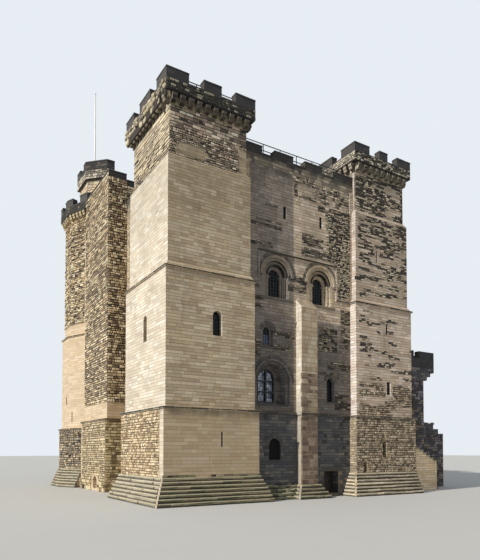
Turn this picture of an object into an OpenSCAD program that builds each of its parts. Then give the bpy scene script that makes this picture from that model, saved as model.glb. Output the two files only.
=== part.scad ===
// Square stone castle keep with four corner towers, a flag turret and an outer stair.
// X runs east along the south front, Y runs north and Z is up. The origin is on the ground
// at the middle of the main block. Points inside the modules are counted from the outer
// south-west corner of the block, and at_keep() moves them to the origin.

/* [Main block] */
// Width of the south front, between the outer faces of its towers
keep_w = 18900; // [18000:100:21000]
// Depth from the south front to the north front
keep_d = 23250; // [22500:100:25000]
// Inner face of the south wall, from the south front
room_south = 5400; // [4600:50:6000]
// Depth of the wall faces behind the tower faces
wall_recess = 550; // [400:10:700]
// Depth of the north wall's face behind the north front
north_recess = 1050; // [800:10:1200]
// How far each stage of a tower steps in
setback = 180; // [120:10:220]
// How far the south wall steps in above the last setback of the towers
wall_setback = 70; // [40:5:100]

/* [Heights] */
// Top of the base stage, under the lower string course
base_top_z = 5150; // [4900:50:5400]
// Upper string course
string_z = 12850; // [12700:50:13000]
// Last setback of the towers
rubble_z = 18930; // [18500:10:19300]
// Wall walk behind the parapets of the main block
walk_z = 20300; // [20100:50:20500]
// Underside of the corbels on the towers
corbel_z = 21880; // [21700:20:22200]
// Top of the ground floor slab
ground_floor_z = 200; // [150:10:300]
// Top of the first floor
first_floor_z = 5150; // [5000:50:5300]
// Top of the hall floor
hall_floor_z = 11200; // [11000:50:11500]
// Thickness of the floors
floor_t = 400; // [250:10:500]
// Thickness of the floors in the towers
tower_floor_t = 200; // [150:10:300]
// Height of the roof's ridge over the wall walk
roof_rise = 500; // [300:10:800]
// Thickness of the roof at its eaves
roof_t = 900; // [600:10:1100]

/* [Towers] */
// Width of the two west towers
west_tower_w = 5630; // [5300:10:5800]
// Width of the two east towers
east_tower_w = 5290; // [5100:10:5500]
// Depth of the south towers
south_tower_d = 6130; // [5900:10:6300]
// Depth of the north towers
north_tower_d = 5630; // [5500:10:5800]
// Wall round the shaft inside a tower
tower_wall = 1700; // [1500:50:1900]

/* [Many-sided tower] */
// Reach of its west and north faces beyond the block
poly_out = 100; // [40:10:200]
// Length of its west and north faces
poly_face = 2070; // [1900:10:2200]
// Length that its corner face takes off each side
poly_chamfer = 1450; // [1200:10:1700]
// How far its splayed sides run back for each metre along the wall
poly_splay = 410; // [300:10:500]
// How far its lower string course lies below the others
poly_lower_drop = 450; // [300:10:600]
// How far its upper string course lies below the others
poly_upper_drop = 300; // [200:10:400]
// Width of the shaft inside it
poly_void_w = 2200; // [1800:50:2300]
// How much higher its top stands than the square towers
poly_lift = 450; // [0:10:600]

/* [String courses and setbacks] */
// Height of a string course
string_h = 110; // [80:5:150]
// How far a string course stands out
string_out = 90; // [60:5:120]
// Height of the sloped stones on a setback
slope_h = 260; // [150:10:400]

/* [Plinths] */
// Height of the stepped plinth
plinth_h = 1500; // [1200:50:1800]
// Number of steps in the plinth
plinth_steps = 7; // [5:1:9]
// How far each step stands out
plinth_step_out = 90; // [60:5:110]

/* [Corbels and parapets] */
// Height of a corbel
corbel_h = 480; // [400:10:560]
// How far the parapet stands out on the corbels
corbel_out = 390; // [300:10:450]
// Width of a corbel
corbel_w = 270; // [220:10:320]
// Distance between corbels, about
corbel_pitch = 560; // [500:10:700]
// Thickness of the parapets
parapet_t = 450; // [350:10:550]
// Height of the solid part of a tower parapet
tower_band_h = 670; // [550:10:800]
// Height of the merlons
merlon_h = 570; // [450:10:700]
// Length of the merlon at each corner
corner_merlon = 1350; // [1200:10:1450]
// Width of a gap between merlons
crenel_w = 930; // [800:10:1050]
// Height of the solid part of the wall parapets
wall_band_h = 740; // [600:10:900]
// Height of the merlons on the main walls
wall_merlon_h = 420; // [350:10:500]
// Length of the first merlon on a main wall
first_merlon = 1310; // [1100:10:1500]
// Distance between gaps on the main walls
wall_crenel_pitch = 2360; // [2200:10:2500]

/* [West wall] */
// Depth of the west wall's face behind the tower faces
west_recess = 2000; // [1700:10:2300]
// Depth of its projecting block's face behind the tower faces
block_recess = 610; // [500:10:800]
// South side of the block, from the south front
block_south = 11650; // [11400:10:12000]
// Top of the block's parapet
block_top_z = 23370; // [22900:10:23500]
// Width of the drain arch at its foot
drain_w = 950; // [800:10:1100]

/* [Buttress] */
// West side of the buttress, as a share of the room's width
buttress_place = 0.431; // [0.42:0.001:0.44]
// Width of the buttress
buttress_w = 1250; // [1000:10:1350]
// Height of its front edge, where the weathering starts
buttress_top_z = 11850; // [11600:10:12000]
// Number of steps in its plinth
buttress_steps = 4; // [3:1:5]
// How far each of these steps stands out
buttress_step_out = 150; // [100:5:170]

/* [Ground door] */
// West side of the doorway, as a share of the room's width
door_place = 0.698; // [0.69:0.001:0.71]
// Width of the doorway
door_w = 1180; // [1100:10:1300]
// Height of the doorway above the floor
door_h = 1420; // [1350:10:1700]
// Depth of the leaf behind the wall face
door_reveal = 600; // [450:10:800]
// Thickness of the leaf
leaf_t = 70; // [50:5:90]
// Clearance round the leaf
leaf_gap = 25; // [20:1:30]
// Width of the frame in front of the leaf
frame_w = 80; // [60:5:110]
// Length of a strap hinge
strap_l = 950; // [700:10:1000]
// Radius of a hinge pin
pin_r = 9; // [7:0.5:11]
// Clearance round a hinge pin
pin_gap = 1.5; // [1:0.1:2]

/* [Hall windows] */
// Middles of the two windows, as shares of the room's width
hall_window_places = [0.247, 0.679];
// Outer radius of the moulded arch
hall_arch_r = 1140; // [1100:10:1160]
// Height of the springing line
hall_spring_z = 13660; // [13500:10:13800]
// Height of the sill
hall_sill_z = 12300; // [12200:10:12450]
// Width of one moulded order
order_w = 235; // [220:5:260]
// Depth of one moulded order
order_t = 150; // [120:10:200]
// Number of orders
orders = 3; // [2:1:3]
// Radius of the shafts in its jambs
shaft_r = 60; // [40:5:70]
// Height of the impost blocks
impost_h = 130; // [90:10:170]
// Width of the hood mould over an arch
hood_w = 100; // [70:5:120]
// How far a hood mould stands out
hood_out = 60; // [40:5:90]
// Top of the square label round both windows
label_z = 15080; // [14950:10:15300]

/* [Great window] */
// Middle of the large lower window, as a share of the room's width
great_place = 0.1974; // [0.19:0.0001:0.205]
// Width of the glazed opening
great_w = 1290; // [1200:10:1350]
// Height of its sill
great_sill_z = 5880; // [5800:10:5950]
// Top of the glazed opening
great_top_z = 7950; // [7800:10:8050]
// Middle of the relieving arch, as a share of the room's width
great_arch_place = 0.2074; // [0.2:0.0001:0.215]
// Width of the relieving arch
great_arch_w = 2520; // [2400:10:2600]
// Top of the relieving arch
great_arch_top_z = 8385; // [8300:5:8500]
// Depth of the glazed opening behind the wall face
great_recess = 650; // [500:10:800]
// Width of a mullion or transom
mullion_w = 80; // [60:5:110]
// Depth of the mullions
mullion_t = 150; // [100:10:200]

/* [Flag turret] */
// West face of the turret, from the west front
turret_x = 1230; // [1150:10:1400]
// South face of the turret, from the north front
turret_back = 5250; // [5150:10:5300]
// Width of the turret from west to east
turret_w = 1660; // [1500:10:1800]
// Length of the turret from south to north
turret_length = 3630; // [3400:10:3800]
// How far its south-west corner is cut back, each way
turret_cut = 1290; // [1100:10:1350]
// Underside of its mouldings
turret_corbel_z = 25950; // [25700:50:26300]
// Height of its parapet
turret_parapet_h = 1070; // [950:10:1300]
// Top of the flagpole
pole_top_z = 34300; // [32500:100:35000]
// Flagpole, from the turret's west face
pole_in = 800; // [600:10:1000]
// Flagpole, from the turret's south face
pole_back = 2000; // [1600:10:2600]
// Radius of the flagpole at its foot
pole_r = 75; // [60:5:100]

/* [Outer stair] */
// Reach of the forebuilding beyond the east front
fore_reach = 5350; // [5200:50:5800]
// Thickness of its outer wall
fore_wall_t = 1000; // [800:50:1200]
// Width of the stair
stair_w = 2240; // [2100:10:2400]
// South face of the gate turret, from the south front
gate_y = 3400; // [3200:50:3700]
// Depth of the gate turret
gate_d = 2600; // [2400:50:2800]
// Underside of the gate turret's corbels
gate_corbel_z = 8700; // [8400:50:9000]
// Top of the gate arch
gate_arch_z = 7400; // [7000:50:7600]
// Height of the landing in front of the gate
landing_z = 2400; // [2200:200:2600]
// Length of the landing at the hall door
top_landing = 1900; // [1600:50:2100]
// Rise of a step
step_rise = 200; // [180:5:210]
// Tread of a step in the short flight
step_run = 280; // [260:5:290]

/* [Railings] */
// Thickness of the bars
rail_t = 40; // [30:5:50]
// Height of the top rail over the wall walk
rail_top = 1700; // [1500:50:1800]
// Distance between the rails
rail_pitch = 400; // [300:10:500]
// Distance between the posts
post_pitch = 1530; // [1300:10:1800]

/* [Hidden] */

ashlar = "#b3a180";
ashlar_pale = "#c4b28e";
rubble = "#9a8a6c";
soot = "#3a342c";
slab_stone = "#8c857a";
timber = "#3d3128";
iron = "#26262a";
glass_dark = "#2b3036";
lead = "#6d7377";

round_fn = 48;
small_fn = 32;
// Gap under a piece whose seat is sloped, turned or round
bed = 0.3;

// Plan of the block
room_w = keep_w - west_tower_w - east_tower_w;
room_x0 = west_tower_w;
room_x1 = room_x0 + room_w;
room_north = keep_d - north_tower_d;
east_face = keep_w - wall_recess;
north_face = keep_d - north_recess;
base_recess = wall_recess - 100;
plinth_step_h = round(plinth_h / plinth_steps);
// Clear of the base and string course on a side of a tower
past_tower = setback + string_out;

// A place on the south wall between the towers, from its share of the room's width
place_grid = 10;
function bay_x(share) = room_x0 + place_grid * round(share * room_w / place_grid);

// Heights that follow
parapet_z = corbel_z + corbel_h;
top_setback = 2 * setback;
parapet_in = top_setback - corbel_out;
tower_top_z = parapet_z + tower_band_h + merlon_h;
sill_drop = 150;

module at_keep() translate([-keep_w / 2, -keep_d / 2, 0]) children();

// A box between two corners
module block(a, b) translate(a) cube(b - a);

// A round-headed outline, standing on its sill
module arch_2d(w, h) {
    translate([-w / 2, 0]) square([w, h - w / 2]);
    translate([0, h - w / 2]) circle(r = w / 2, $fn = round_fn);
}

// An opening through a wall that faces south or north, and one that faces west or east
module arch_y(x, y0, y1, z, w, h)
    translate([x, y1, z]) rotate([90, 0, 0]) linear_extrude(y1 - y0) arch_2d(w, h);
module arch_x(x0, x1, y, z, w, h)
    translate([x0, y, z]) rotate([90, 0, 90]) linear_extrude(x1 - x0) arch_2d(w, h);
module slot_y(x, y0, y1, z, w, h) block([x - w / 2, y0, z], [x + w / 2, y1, z + h]);
module slot_x(x0, x1, y, z, w, h) block([x0, y - w / 2, z], [x1, y + w / 2, z + h]);

// A window that opens to a wider round-headed recess inside
embrasure_more_w = 500;
embrasure_more_h = 400;
module splayed_y(x, y0, y1, z, w, h, reveal) {
    arch_y(x, y0 - 1, y0 + reveal, z, w, h);
    arch_y(x, y0 + reveal, y1 + 1, z - sill_drop, w + embrasure_more_w, h + embrasure_more_h);
}

// A half ring over an arch, standing out of a wall that faces south at y
module hood(x, y, spring_z, r_in, r_out) translate([x, y, spring_z]) rotate([90, 0, 0])
    linear_extrude(hood_out) difference() {
        circle(r = r_out, $fn = round_fn);
        circle(r = r_in, $fn = round_fn);
        translate([-r_out - 1, -r_out - 1]) square([2 * r_out + 2, r_out + 1]);
    }

// A rectangle whose four sides slope in from bottom to top
module sloped_course(a, b, z, h, inset) {
    size = b - a;
    translate([a[0], a[1], z]) intersection() {
        translate([0, size[1], 0]) rotate([90, 0, 0]) linear_extrude(size[1])
            polygon([[0, 0], [size[0], 0], [size[0] - inset, h], [inset, h]]);
        rotate([90, 0, 90]) linear_extrude(size[0])
            polygon([[0, 0], [size[1], 0], [size[1] - inset, h], [inset, h]]);
    }
}

// Corner tower in its own frame: its outer corner at the origin, walls at wall_y and wall_x
module tower_plan(w, d, inset, side_inset, wall_y, wall_x) polygon([
    [side_inset, inset], [w - inset, inset], [w - inset, wall_y], [w, wall_y],
    [w, d], [wall_x, d], [wall_x, d - side_inset], [side_inset, d - side_inset]
]);

module tower_stage(w, d, inset, wall_y, wall_x, z0, z1)
    translate([0, 0, z0]) linear_extrude(z1 - z0) tower_plan(w, d, inset, inset, wall_y, wall_x);

module tower_void(w, d, z0, z1)
    block([tower_wall, tower_wall, z0], [w - tower_wall, d - tower_wall, z1]);

// The plinth's steps. side_steps is 0 on a side where the outer stair stands against the tower.
module plinth_stack(w, d, wall_y, wall_x, side_steps)
    for (k = [0 : plinth_steps - 1]) {
        out = (plinth_steps - k) * plinth_step_out;
        translate([0, 0, k * plinth_step_h]) linear_extrude(plinth_step_h)
            tower_plan(w, d, -setback - out, -setback - side_steps * out, wall_y, wall_x);
    }

module tower_base(w, d, wall_y, wall_x, side_steps) difference() {
    union() {
        tower_stage(w, d, -setback, wall_y, wall_x, 0, base_top_z);
        plinth_stack(w, d, wall_y, wall_x, side_steps);
    }
    tower_void(w, d, -1, base_top_z + 1);
}

module tower_shaft(w, d, wall_y, wall_x) difference() {
    union() {
        tower_stage(w, d, -past_tower, wall_y, wall_x, base_top_z, base_top_z + string_h);
        tower_stage(w, d, 0, wall_y, wall_x, base_top_z, string_z);
        tower_stage(w, d, -string_out, wall_y, wall_x, string_z - string_h, string_z);
        sloped_course([0, 0], [w, d], string_z, slope_h, setback);
        tower_stage(w, d, setback, wall_y, wall_x, string_z, rubble_z);
        sloped_course([setback, setback], [w - setback, d - setback], rubble_z, slope_h, setback);
        tower_stage(w, d, top_setback, wall_y, wall_x, rubble_z, walk_z);
        block([top_setback, top_setback, walk_z], [w - top_setback, d - top_setback, parapet_z]);
    }
    tower_void(w, d, base_top_z - 1, parapet_z + 1);
}

// One rounded corbel: two rolls, one above the other, standing out along +X from x = 0
module corbel() rotate([90, 0, 0]) translate([0, 0, -corbel_w / 2]) linear_extrude(corbel_w) {
    upper_r = corbel_h * 0.3;
    lower_r = corbel_h * 0.26;
    difference() {
        square([corbel_out - upper_r, corbel_h]);
        translate([corbel_out * 0.62, -1]) square([corbel_out, lower_r * 1.4]);
        translate([corbel_out * 0.3, -1]) square([corbel_out, lower_r * 0.5]);
    }
    translate([0, corbel_h - 2 * upper_r]) square([corbel_out - upper_r, 2 * upper_r]);
    translate([corbel_out - upper_r, corbel_h - upper_r]) circle(r = upper_r, $fn = small_fn);
    translate([corbel_out * 0.5, lower_r * 1.25]) circle(r = lower_r, $fn = small_fn);
}

// A row of corbels along +Y from y = 0 to y = length, standing out along -X from x = 0
module corbel_row(length) {
    count = max(2, round(length / corbel_pitch) + 1);
    pitch = (length - corbel_w) / (count - 1);
    for (k = [0 : count - 1])
        translate([0, corbel_w / 2 + k * pitch, 0]) mirror([1, 0, 0]) corbel();
}

module tower_corbels(w, d) {
    side_w = w - 2 * top_setback;
    side_d = d - 2 * top_setback;
    translate([top_setback, top_setback, corbel_z]) {
        corbel_row(side_d);
        translate([side_w, side_d, 0]) rotate([0, 0, 180]) corbel_row(side_d);
        translate([side_w, 0, 0]) rotate([0, 0, 90]) corbel_row(side_w);
        translate([0, side_d, 0]) rotate([0, 0, -90]) corbel_row(side_w);
    }
}

// Parapet of a rectangular tower, with two gaps on each side
module tower_parapet(w, d) {
    a = parapet_in;
    crenel_z = parapet_z + tower_band_h;
    gaps_w = [a + corner_merlon, w - a - corner_merlon - crenel_w];
    gaps_d = [a + corner_merlon, d - a - corner_merlon - crenel_w];
    difference() {
        block([a, a, parapet_z], [w - a, d - a, tower_top_z]);
        block([a + parapet_t, a + parapet_t, parapet_z - 1],
              [w - a - parapet_t, d - a - parapet_t, tower_top_z + 1]);
        for (x = gaps_w) block([x, a - 1, crenel_z], [x + crenel_w, d - a + 1, tower_top_z + 1]);
        for (y = gaps_d) block([a - 1, y, crenel_z], [w - a + 1, y + crenel_w, tower_top_z + 1]);
    }
}

module place_sw() at_keep() children();
module place_se() at_keep() translate([keep_w, 0, 0]) mirror([1, 0, 0]) children();
module place_ne() at_keep() translate([keep_w, keep_d, 0]) mirror([1, 0, 0]) mirror([0, 1, 0]) children();

// Sizes of the towers' small openings
slit_w = 120;
slit_h = 830;
light_w = 360;
light_h = 900;
chamber_z = 9340;
chamber_w = 500;
chamber_h = 1400;
low_light_z = 6760;
top_slit_z = 15830;

// South-west tower, with places counted from its outer corner
sw_window_x = 3140;
sw_window_y = 2910;
sw_slit_x = 3340;
sw_slit_z = 3140;
module sw_tower_base() color(rubble) place_sw() difference() {
    tower_base(west_tower_w, south_tower_d, base_recess, west_recess, 1);
    slot_y(sw_slit_x, -setback - 1, tower_wall + 1, sw_slit_z, slit_w, slit_h);
}
module sw_tower_shaft() color(ashlar) place_sw() difference() {
    tower_shaft(west_tower_w, south_tower_d, wall_recess, west_recess);
    splayed_y(sw_window_x, -1, tower_wall, chamber_z, chamber_w + 100, chamber_h, chamber_w);
    arch_x(-1, tower_wall + 1, sw_window_y, chamber_z - 180, chamber_w, chamber_h + 100);
}
module sw_tower_corbels() color(ashlar_pale) place_sw() tower_corbels(west_tower_w, south_tower_d);
module sw_tower_parapet() color(soot) place_sw() tower_parapet(west_tower_w, south_tower_d);

// South-east tower, with places counted west from its outer corner
se_arch_x = 2900;
se_arch_z = 2480;
se_low_x = 4680;
se_light_x = 2280;
se_high_x = 2420;
se_high_z = 10900;
se_slit_x = 3150;
module se_tower_base() color(rubble) place_se() difference() {
    tower_base(east_tower_w, south_tower_d, base_recess, wall_recess, 0);
    arch_y(se_arch_x, -setback - 1, tower_wall + 1, se_arch_z, light_w - 20, light_h + 190);
    arch_y(se_low_x, -setback - 1, tower_wall, plinth_h + 10, light_w - 60, light_h - 200);
    block([tower_wall, tower_wall - 700, plinth_h - 100],
          [se_low_x + light_w, tower_wall + 400, plinth_h + 1400]);
}
module se_tower_shaft() color(ashlar) place_se() difference() {
    tower_shaft(east_tower_w, south_tower_d, wall_recess, wall_recess);
    slot_y(se_light_x, -1, tower_wall + 1, low_light_z, light_w, light_h);
    slot_y(se_high_x, -1, tower_wall + 1, se_high_z, light_w / 2, light_h);
    slot_y(se_slit_x, -1, tower_wall + 1, top_slit_z, slit_w, slit_h);
}
module se_tower_corbels() color(ashlar_pale) place_se() tower_corbels(east_tower_w, south_tower_d);
module se_tower_parapet() color(soot) place_se() tower_parapet(east_tower_w, south_tower_d);

// North-east tower, with places counted from its outer corner
ne_window_x = 2600;
ne_light_y = 2800;
module ne_tower_base() color(rubble)
    place_ne() tower_base(east_tower_w, north_tower_d, north_recess, wall_recess, 0);
module ne_tower_shaft() color(ashlar) place_ne() difference() {
    tower_shaft(east_tower_w, north_tower_d, north_recess, wall_recess);
    arch_y(ne_window_x, -1, tower_wall + 1, chamber_z, chamber_w, chamber_h);
    slot_y(ne_window_x, -1, tower_wall + 1, top_slit_z, slit_w, slit_h);
    slot_x(-1, tower_wall + 1, ne_light_y, low_light_z, light_w, light_h);
}
module ne_tower_corbels() color(ashlar_pale) place_ne() tower_corbels(east_tower_w, north_tower_d);
module ne_tower_parapet() color(soot) place_ne() tower_parapet(east_tower_w, north_tower_d);

// Many-sided north-west tower. Its plan is the same on both sides of its diagonal.
// diag turns a point on the west side into the matching one on the north side.
function diag(p) = [keep_d - p[1], keep_d - p[0]];
poly_w2 = [-poly_out, keep_d + poly_out - poly_chamfer];
poly_w1 = poly_w2 - [0, poly_face];
poly_in = [poly_w1[0] + (poly_w1[1] - room_north) * poly_splay / 1000, room_north];
poly_points = [
    poly_in, [room_x0, room_north], diag(poly_in), diag(poly_w1), diag(poly_w2), poly_w2, poly_w1
];
// 1 for an edge that is an outer face, counted from each point to the next
poly_outer = [0, 0, 1, 1, 1, 1, 1];
// The same edges where the tower stands free above the walls
poly_free = [1, 1, 1, 1, 1, 1, 1];

function edge_normal(p, q) = let (v = (q - p) / norm(q - p)) [-v[1], v[0]];
function shifted_corner(a, b, c, d1, d2) = let (
    n1 = edge_normal(a, b), n2 = edge_normal(b, c),
    c1 = n1 * b + d1, c2 = n2 * b + d2,
    det = n1[0] * n2[1] - n1[1] * n2[0]
) [(c1 * n2[1] - c2 * n1[1]) / det, (n1[0] * c2 - n2[0] * c1) / det];
function inset_plan(points, flags, inset) = let (n = len(points)) [
    for (i = [0 : n - 1]) shifted_corner(
        points[(i + n - 1) % n], points[i], points[(i + 1) % n],
        inset * flags[(i + n - 1) % n], inset * flags[i])
];
module poly_stage(flags, inset, z0, z1)
    translate([0, 0, z0]) linear_extrude(z1 - z0) polygon(inset_plan(poly_points, flags, inset));
poly_mid = [(poly_in[0] + room_x0) / 2, (room_north + diag(poly_in)[1]) / 2];
module poly_void(z0, z1) block([poly_mid[0] - poly_void_w / 2, poly_mid[1] - poly_void_w / 2, z0],
                               [poly_mid[0] + poly_void_w / 2, poly_mid[1] + poly_void_w / 2, z1]);

poly_base_z = base_top_z - poly_lower_drop;
poly_string_z = string_z - poly_upper_drop;
poly_slit_y = 700;
poly_light_y = 300;
poly_light_z = 6850;
poly_parapet_z = parapet_z + poly_lift;
poly_top_z = tower_top_z + poly_lift;
module nw_tower_base() color(rubble) at_keep() difference() {
    union() {
        poly_stage(poly_outer, -setback, 0, poly_base_z);
        for (k = [0 : plinth_steps - 1])
            poly_stage(poly_outer, -setback - (plinth_steps - k) * plinth_step_out,
                k * plinth_step_h, (k + 1) * plinth_step_h);
    }
    poly_void(-1, poly_base_z + 1);
}
module nw_tower_shaft() color(ashlar) at_keep() difference() {
    union() {
        poly_stage(poly_outer, -past_tower, poly_base_z, poly_base_z + string_h);
        poly_stage(poly_outer, 0, poly_base_z, poly_string_z);
        poly_stage(poly_outer, -string_out, poly_string_z - string_h, poly_string_z);
        poly_stage(poly_outer, setback, poly_string_z, walk_z);
        poly_stage(poly_free, setback, walk_z, poly_parapet_z);
    }
    poly_void(poly_base_z - 1, poly_parapet_z + 1);
    slot_x(-poly_out - 1, poly_mid[0], poly_mid[1] - poly_slit_y, base_top_z + 200, slit_w, slit_h);
    slot_x(-poly_out - 1, poly_mid[0], poly_mid[1] + poly_light_y, poly_light_z, light_w - 60, light_h - 300);
    slot_y(poly_mid[0], poly_mid[1], keep_d + poly_out + 1, top_slit_z, slit_w, slit_h);
}
poly_top = inset_plan(poly_points, poly_free, setback);
// Turns and moves a piece to the middle of each free side of the tower's top
module on_poly_sides() for (i = [0 : len(poly_top) - 1]) {
    a = poly_top[i];
    b = poly_top[(i + 1) % len(poly_top)];
    run = b - a;
    $side = norm(run);
    translate([(a[0] + b[0]) / 2, (a[1] + b[1]) / 2, 0]) rotate([0, 0, atan2(run[1], run[0])]) children();
}
module nw_tower_corbels() color(ashlar_pale) at_keep() on_poly_sides()
    translate([-$side / 2 + corbel_w / 2, -bed, corbel_z + poly_lift - bed]) mirror([0, 1, 0]) rotate([0, 0, -90])
    corbel_row($side - corbel_w);
module nw_tower_parapet() color(soot) at_keep() difference() {
    poly_stage(poly_free, setback - corbel_out, poly_parapet_z, poly_top_z);
    poly_stage(poly_free, setback - corbel_out + parapet_t, poly_parapet_z - 1, poly_top_z + 1);
    on_poly_sides() block([-crenel_w / 2, -parapet_t, poly_parapet_z + tower_band_h],
                          [crenel_w / 2, parapet_t + corbel_out, poly_top_z + 1]);
}

// Floors
module ground_floor() color(slab_stone) at_keep() {
    block([room_x0, room_south, 0], [room_x1, room_north, ground_floor_z]);
    block([door_x0, base_recess, 0], [door_x1, room_south, ground_floor_z]);
}
module room_floor(top_z) block([room_x0, room_south, top_z - floor_t], [room_x1, room_north, top_z]);
module first_floor() color(slab_stone) at_keep() room_floor(first_floor_z);
module hall_floor() color(slab_stone) at_keep() room_floor(hall_floor_z);
module roof() color(lead) at_keep() translate([room_x0, room_north, walk_z - roof_t]) rotate([90, 0, 0])
    linear_extrude(room_north - room_south)
    polygon([[0, 0], [room_w, 0], [room_w, roof_t], [room_w / 2, roof_t + roof_rise], [0, roof_t]]);
module tower_floors() color(slab_stone)
    for (z = [tower_floor_t, first_floor_z, hall_floor_z, parapet_z]) {
        place_sw() tower_void(west_tower_w, south_tower_d, z - tower_floor_t, z);
        place_se() tower_void(east_tower_w, south_tower_d, z - tower_floor_t, z);
        place_ne() tower_void(east_tower_w, north_tower_d, z - tower_floor_t, z);
        poly_z = z == parapet_z ? poly_parapet_z : z;
        at_keep() poly_void(poly_z - tower_floor_t, poly_z);
    }

// Base of the south wall, split beside and over the ground door
door_x0 = bay_x(door_place);
door_x1 = door_x0 + door_w;
door_top_z = ground_floor_z + door_h;
buttress_x0 = bay_x(buttress_place);
buttress_x1 = buttress_x0 + buttress_w;
// Low stepped plinth of the west bay, between the tower's plinth and the buttress
module bay_plinth()
    for (k = [0 : buttress_steps - 1])
        block([room_x0 + setback + (plinth_steps - k) * plinth_step_out,
               base_recess - (buttress_steps - k) * plinth_step_out, k * plinth_step_h],
              [buttress_x0 - (buttress_steps - k) * buttress_step_out, base_recess, (k + 1) * plinth_step_h]);
ground_arch_x = bay_x(0.2168);
ground_arch_z = 2380;
ground_arch_w = 860;
ground_arch_h = 1290;
ground_arch_rim = 120;
ground_light_y = 1500;
module south_wall_base_west() color(rubble) at_keep() difference() {
    union() {
        block([room_x0, base_recess, 0], [door_x0, room_south, base_top_z]);
        bay_plinth();
    }
    arch_y(ground_arch_x, base_recess - 1, base_recess + 250, ground_arch_z, ground_arch_w, ground_arch_h);
    arch_y(ground_arch_x, base_recess, ground_light_y, ground_arch_z + 60,
        ground_arch_w - 2 * ground_arch_rim, ground_arch_h - ground_arch_rim - 60);
    arch_y(ground_arch_x, ground_light_y - 1, room_south + 1, ground_arch_z - 2 * sill_drop,
        ground_arch_w + embrasure_more_w, ground_arch_h + embrasure_more_h);
}
module south_wall_base_east() color(rubble) at_keep()
    block([door_x1, base_recess, 0], [room_x1, room_south, base_top_z]);
module south_wall_over_door() color(rubble) at_keep()
    block([door_x0, base_recess, door_top_z], [door_x1, room_south, base_top_z]);
module south_buttress() color(ashlar) at_keep() {
    difference() {
        union() {
            translate([buttress_x0, 0, 0]) rotate([90, 0, 90]) linear_extrude(buttress_w)
                polygon([[0, 0], [wall_recess, 0], [wall_recess, buttress_top_z + wall_recess],
                         [0, buttress_top_z]]);
            for (k = [0 : buttress_steps - 1]) {
                out = (buttress_steps - k) * buttress_step_out;
                block([buttress_x0 - out, -out, k * plinth_step_h],
                      [buttress_x1 + out, base_recess, (k + 1) * plinth_step_h]);
            }
        }
        block([buttress_x0 - 1, base_recess, -1], [buttress_x1 + 1, wall_recess + 1, base_top_z]);
    }
    block([buttress_x0 - string_out, -string_out, base_top_z],
          [buttress_x1 + string_out, wall_recess, base_top_z + string_h]);
}

// South wall over the base. Its lower string course runs between the towers and the buttress.
string_x0 = room_x0 + past_tower;
string_x1 = room_x1 - past_tower;
small_west_x = bay_x(0.1629);
small_west_z = 9240;
small_west_w = 740;
small_west_h = 1320;
small_rim = 140;
small_east_x = bay_x(0.723);
small_east_z = 9800;
arch_east_x = bay_x(0.7794);
arch_east_z = 6100;
arch_east_w = 660;
arch_east_h = 1520;
module south_wall_lower() color(ashlar) at_keep() difference() {
    union() {
        block([room_x0, wall_recess, base_top_z], [room_x1, room_south, hall_floor_z]);
        for (x = [[string_x0, buttress_x0 - string_out], [buttress_x1 + string_out, string_x1]])
            block([x[0], base_recess - string_out, base_top_z], [x[1], wall_recess, base_top_z + string_h]);
        hood(great_arch_x, wall_recess, great_arch_top_z - great_arch_w / 2, great_arch_w / 2 - 1,
            great_arch_w / 2 + hood_w);
    }
    great_cut();
    arch_y(small_west_x, wall_recess - 1, wall_recess + 200, small_west_z, small_west_w, small_west_h);
    splayed_y(small_west_x, wall_recess, room_south, small_west_z + small_rim, small_west_w - 2 * small_rim,
        small_west_h - 2 * small_rim, 500);
    arch_y(arch_east_x, wall_recess - 1, room_south + 1, arch_east_z, arch_east_w, arch_east_h);
    arch_y(small_east_x, wall_recess - 1, room_south + 1, small_east_z, 420, 950);
}
hall_window_x1 = bay_x(hall_window_places[0]);
hall_window_x2 = bay_x(hall_window_places[1]);
upper_slit_z = 17300;
upper_slit_w = 240;
upper_slit_h = 790;
upper_slit_xs = [bay_x(0.3246), bay_x(0.6855)];
label_x0 = hall_window_x1 - hall_arch_r - hood_w - string_h - 50;
label_x1 = hall_window_x2 + hall_arch_r + hood_w + 40;
// A strip of moulding on the face of the south wall
module strip(x0, z0, x1, z1) block([x0, wall_recess - hood_out, z0], [x1, wall_recess, z1]);
module south_wall_upper() color(ashlar) at_keep() difference() {
    union() {
        block([room_x0, wall_recess, hall_floor_z], [room_x1, room_south, rubble_z]);
        block([room_x0, wall_recess + wall_setback, rubble_z], [room_x1, room_south, walk_z]);
        strip(room_x0 + string_out, string_z - string_h, label_x0 + string_h, string_z);
        strip(label_x0, string_z - string_h, label_x0 + string_h, label_z);
        strip(label_x0, label_z - string_h, label_x1 + string_h, label_z);
        strip(label_x1, string_z - string_h, label_x1 + string_h, label_z);
        strip(label_x1, string_z - string_h, room_x1 - string_out, string_z);
    }
    for (x = [hall_window_x1, hall_window_x2]) hall_window_cut(x);
    for (x = upper_slit_xs)
        slot_y(x, wall_recess - 1, room_south + 1, upper_slit_z, upper_slit_w, upper_slit_h);
}

// Great window: a relieving arch over a deep recess, with a glazed light in it
great_x = bay_x(great_place);
great_arch_x = bay_x(great_arch_place);
great_foot_z = base_top_z + 550;
great_light_y = wall_recess + great_recess;
great_h = great_top_z - great_sill_z;
great_arch_rim = 190;
great_rim_t = 180;
module great_cut() {
    h = great_arch_top_z - great_foot_z;
    arch_y(great_arch_x, wall_recess - hood_out - 1, wall_recess + great_rim_t, great_foot_z,
        great_arch_w, h);
    arch_y(great_arch_x, wall_recess, great_light_y, great_foot_z, great_arch_w - 2 * great_arch_rim,
        h - great_arch_rim);
    arch_y(great_x, great_light_y - 1, room_south + 1, great_sill_z, great_w, great_h);
}
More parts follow.
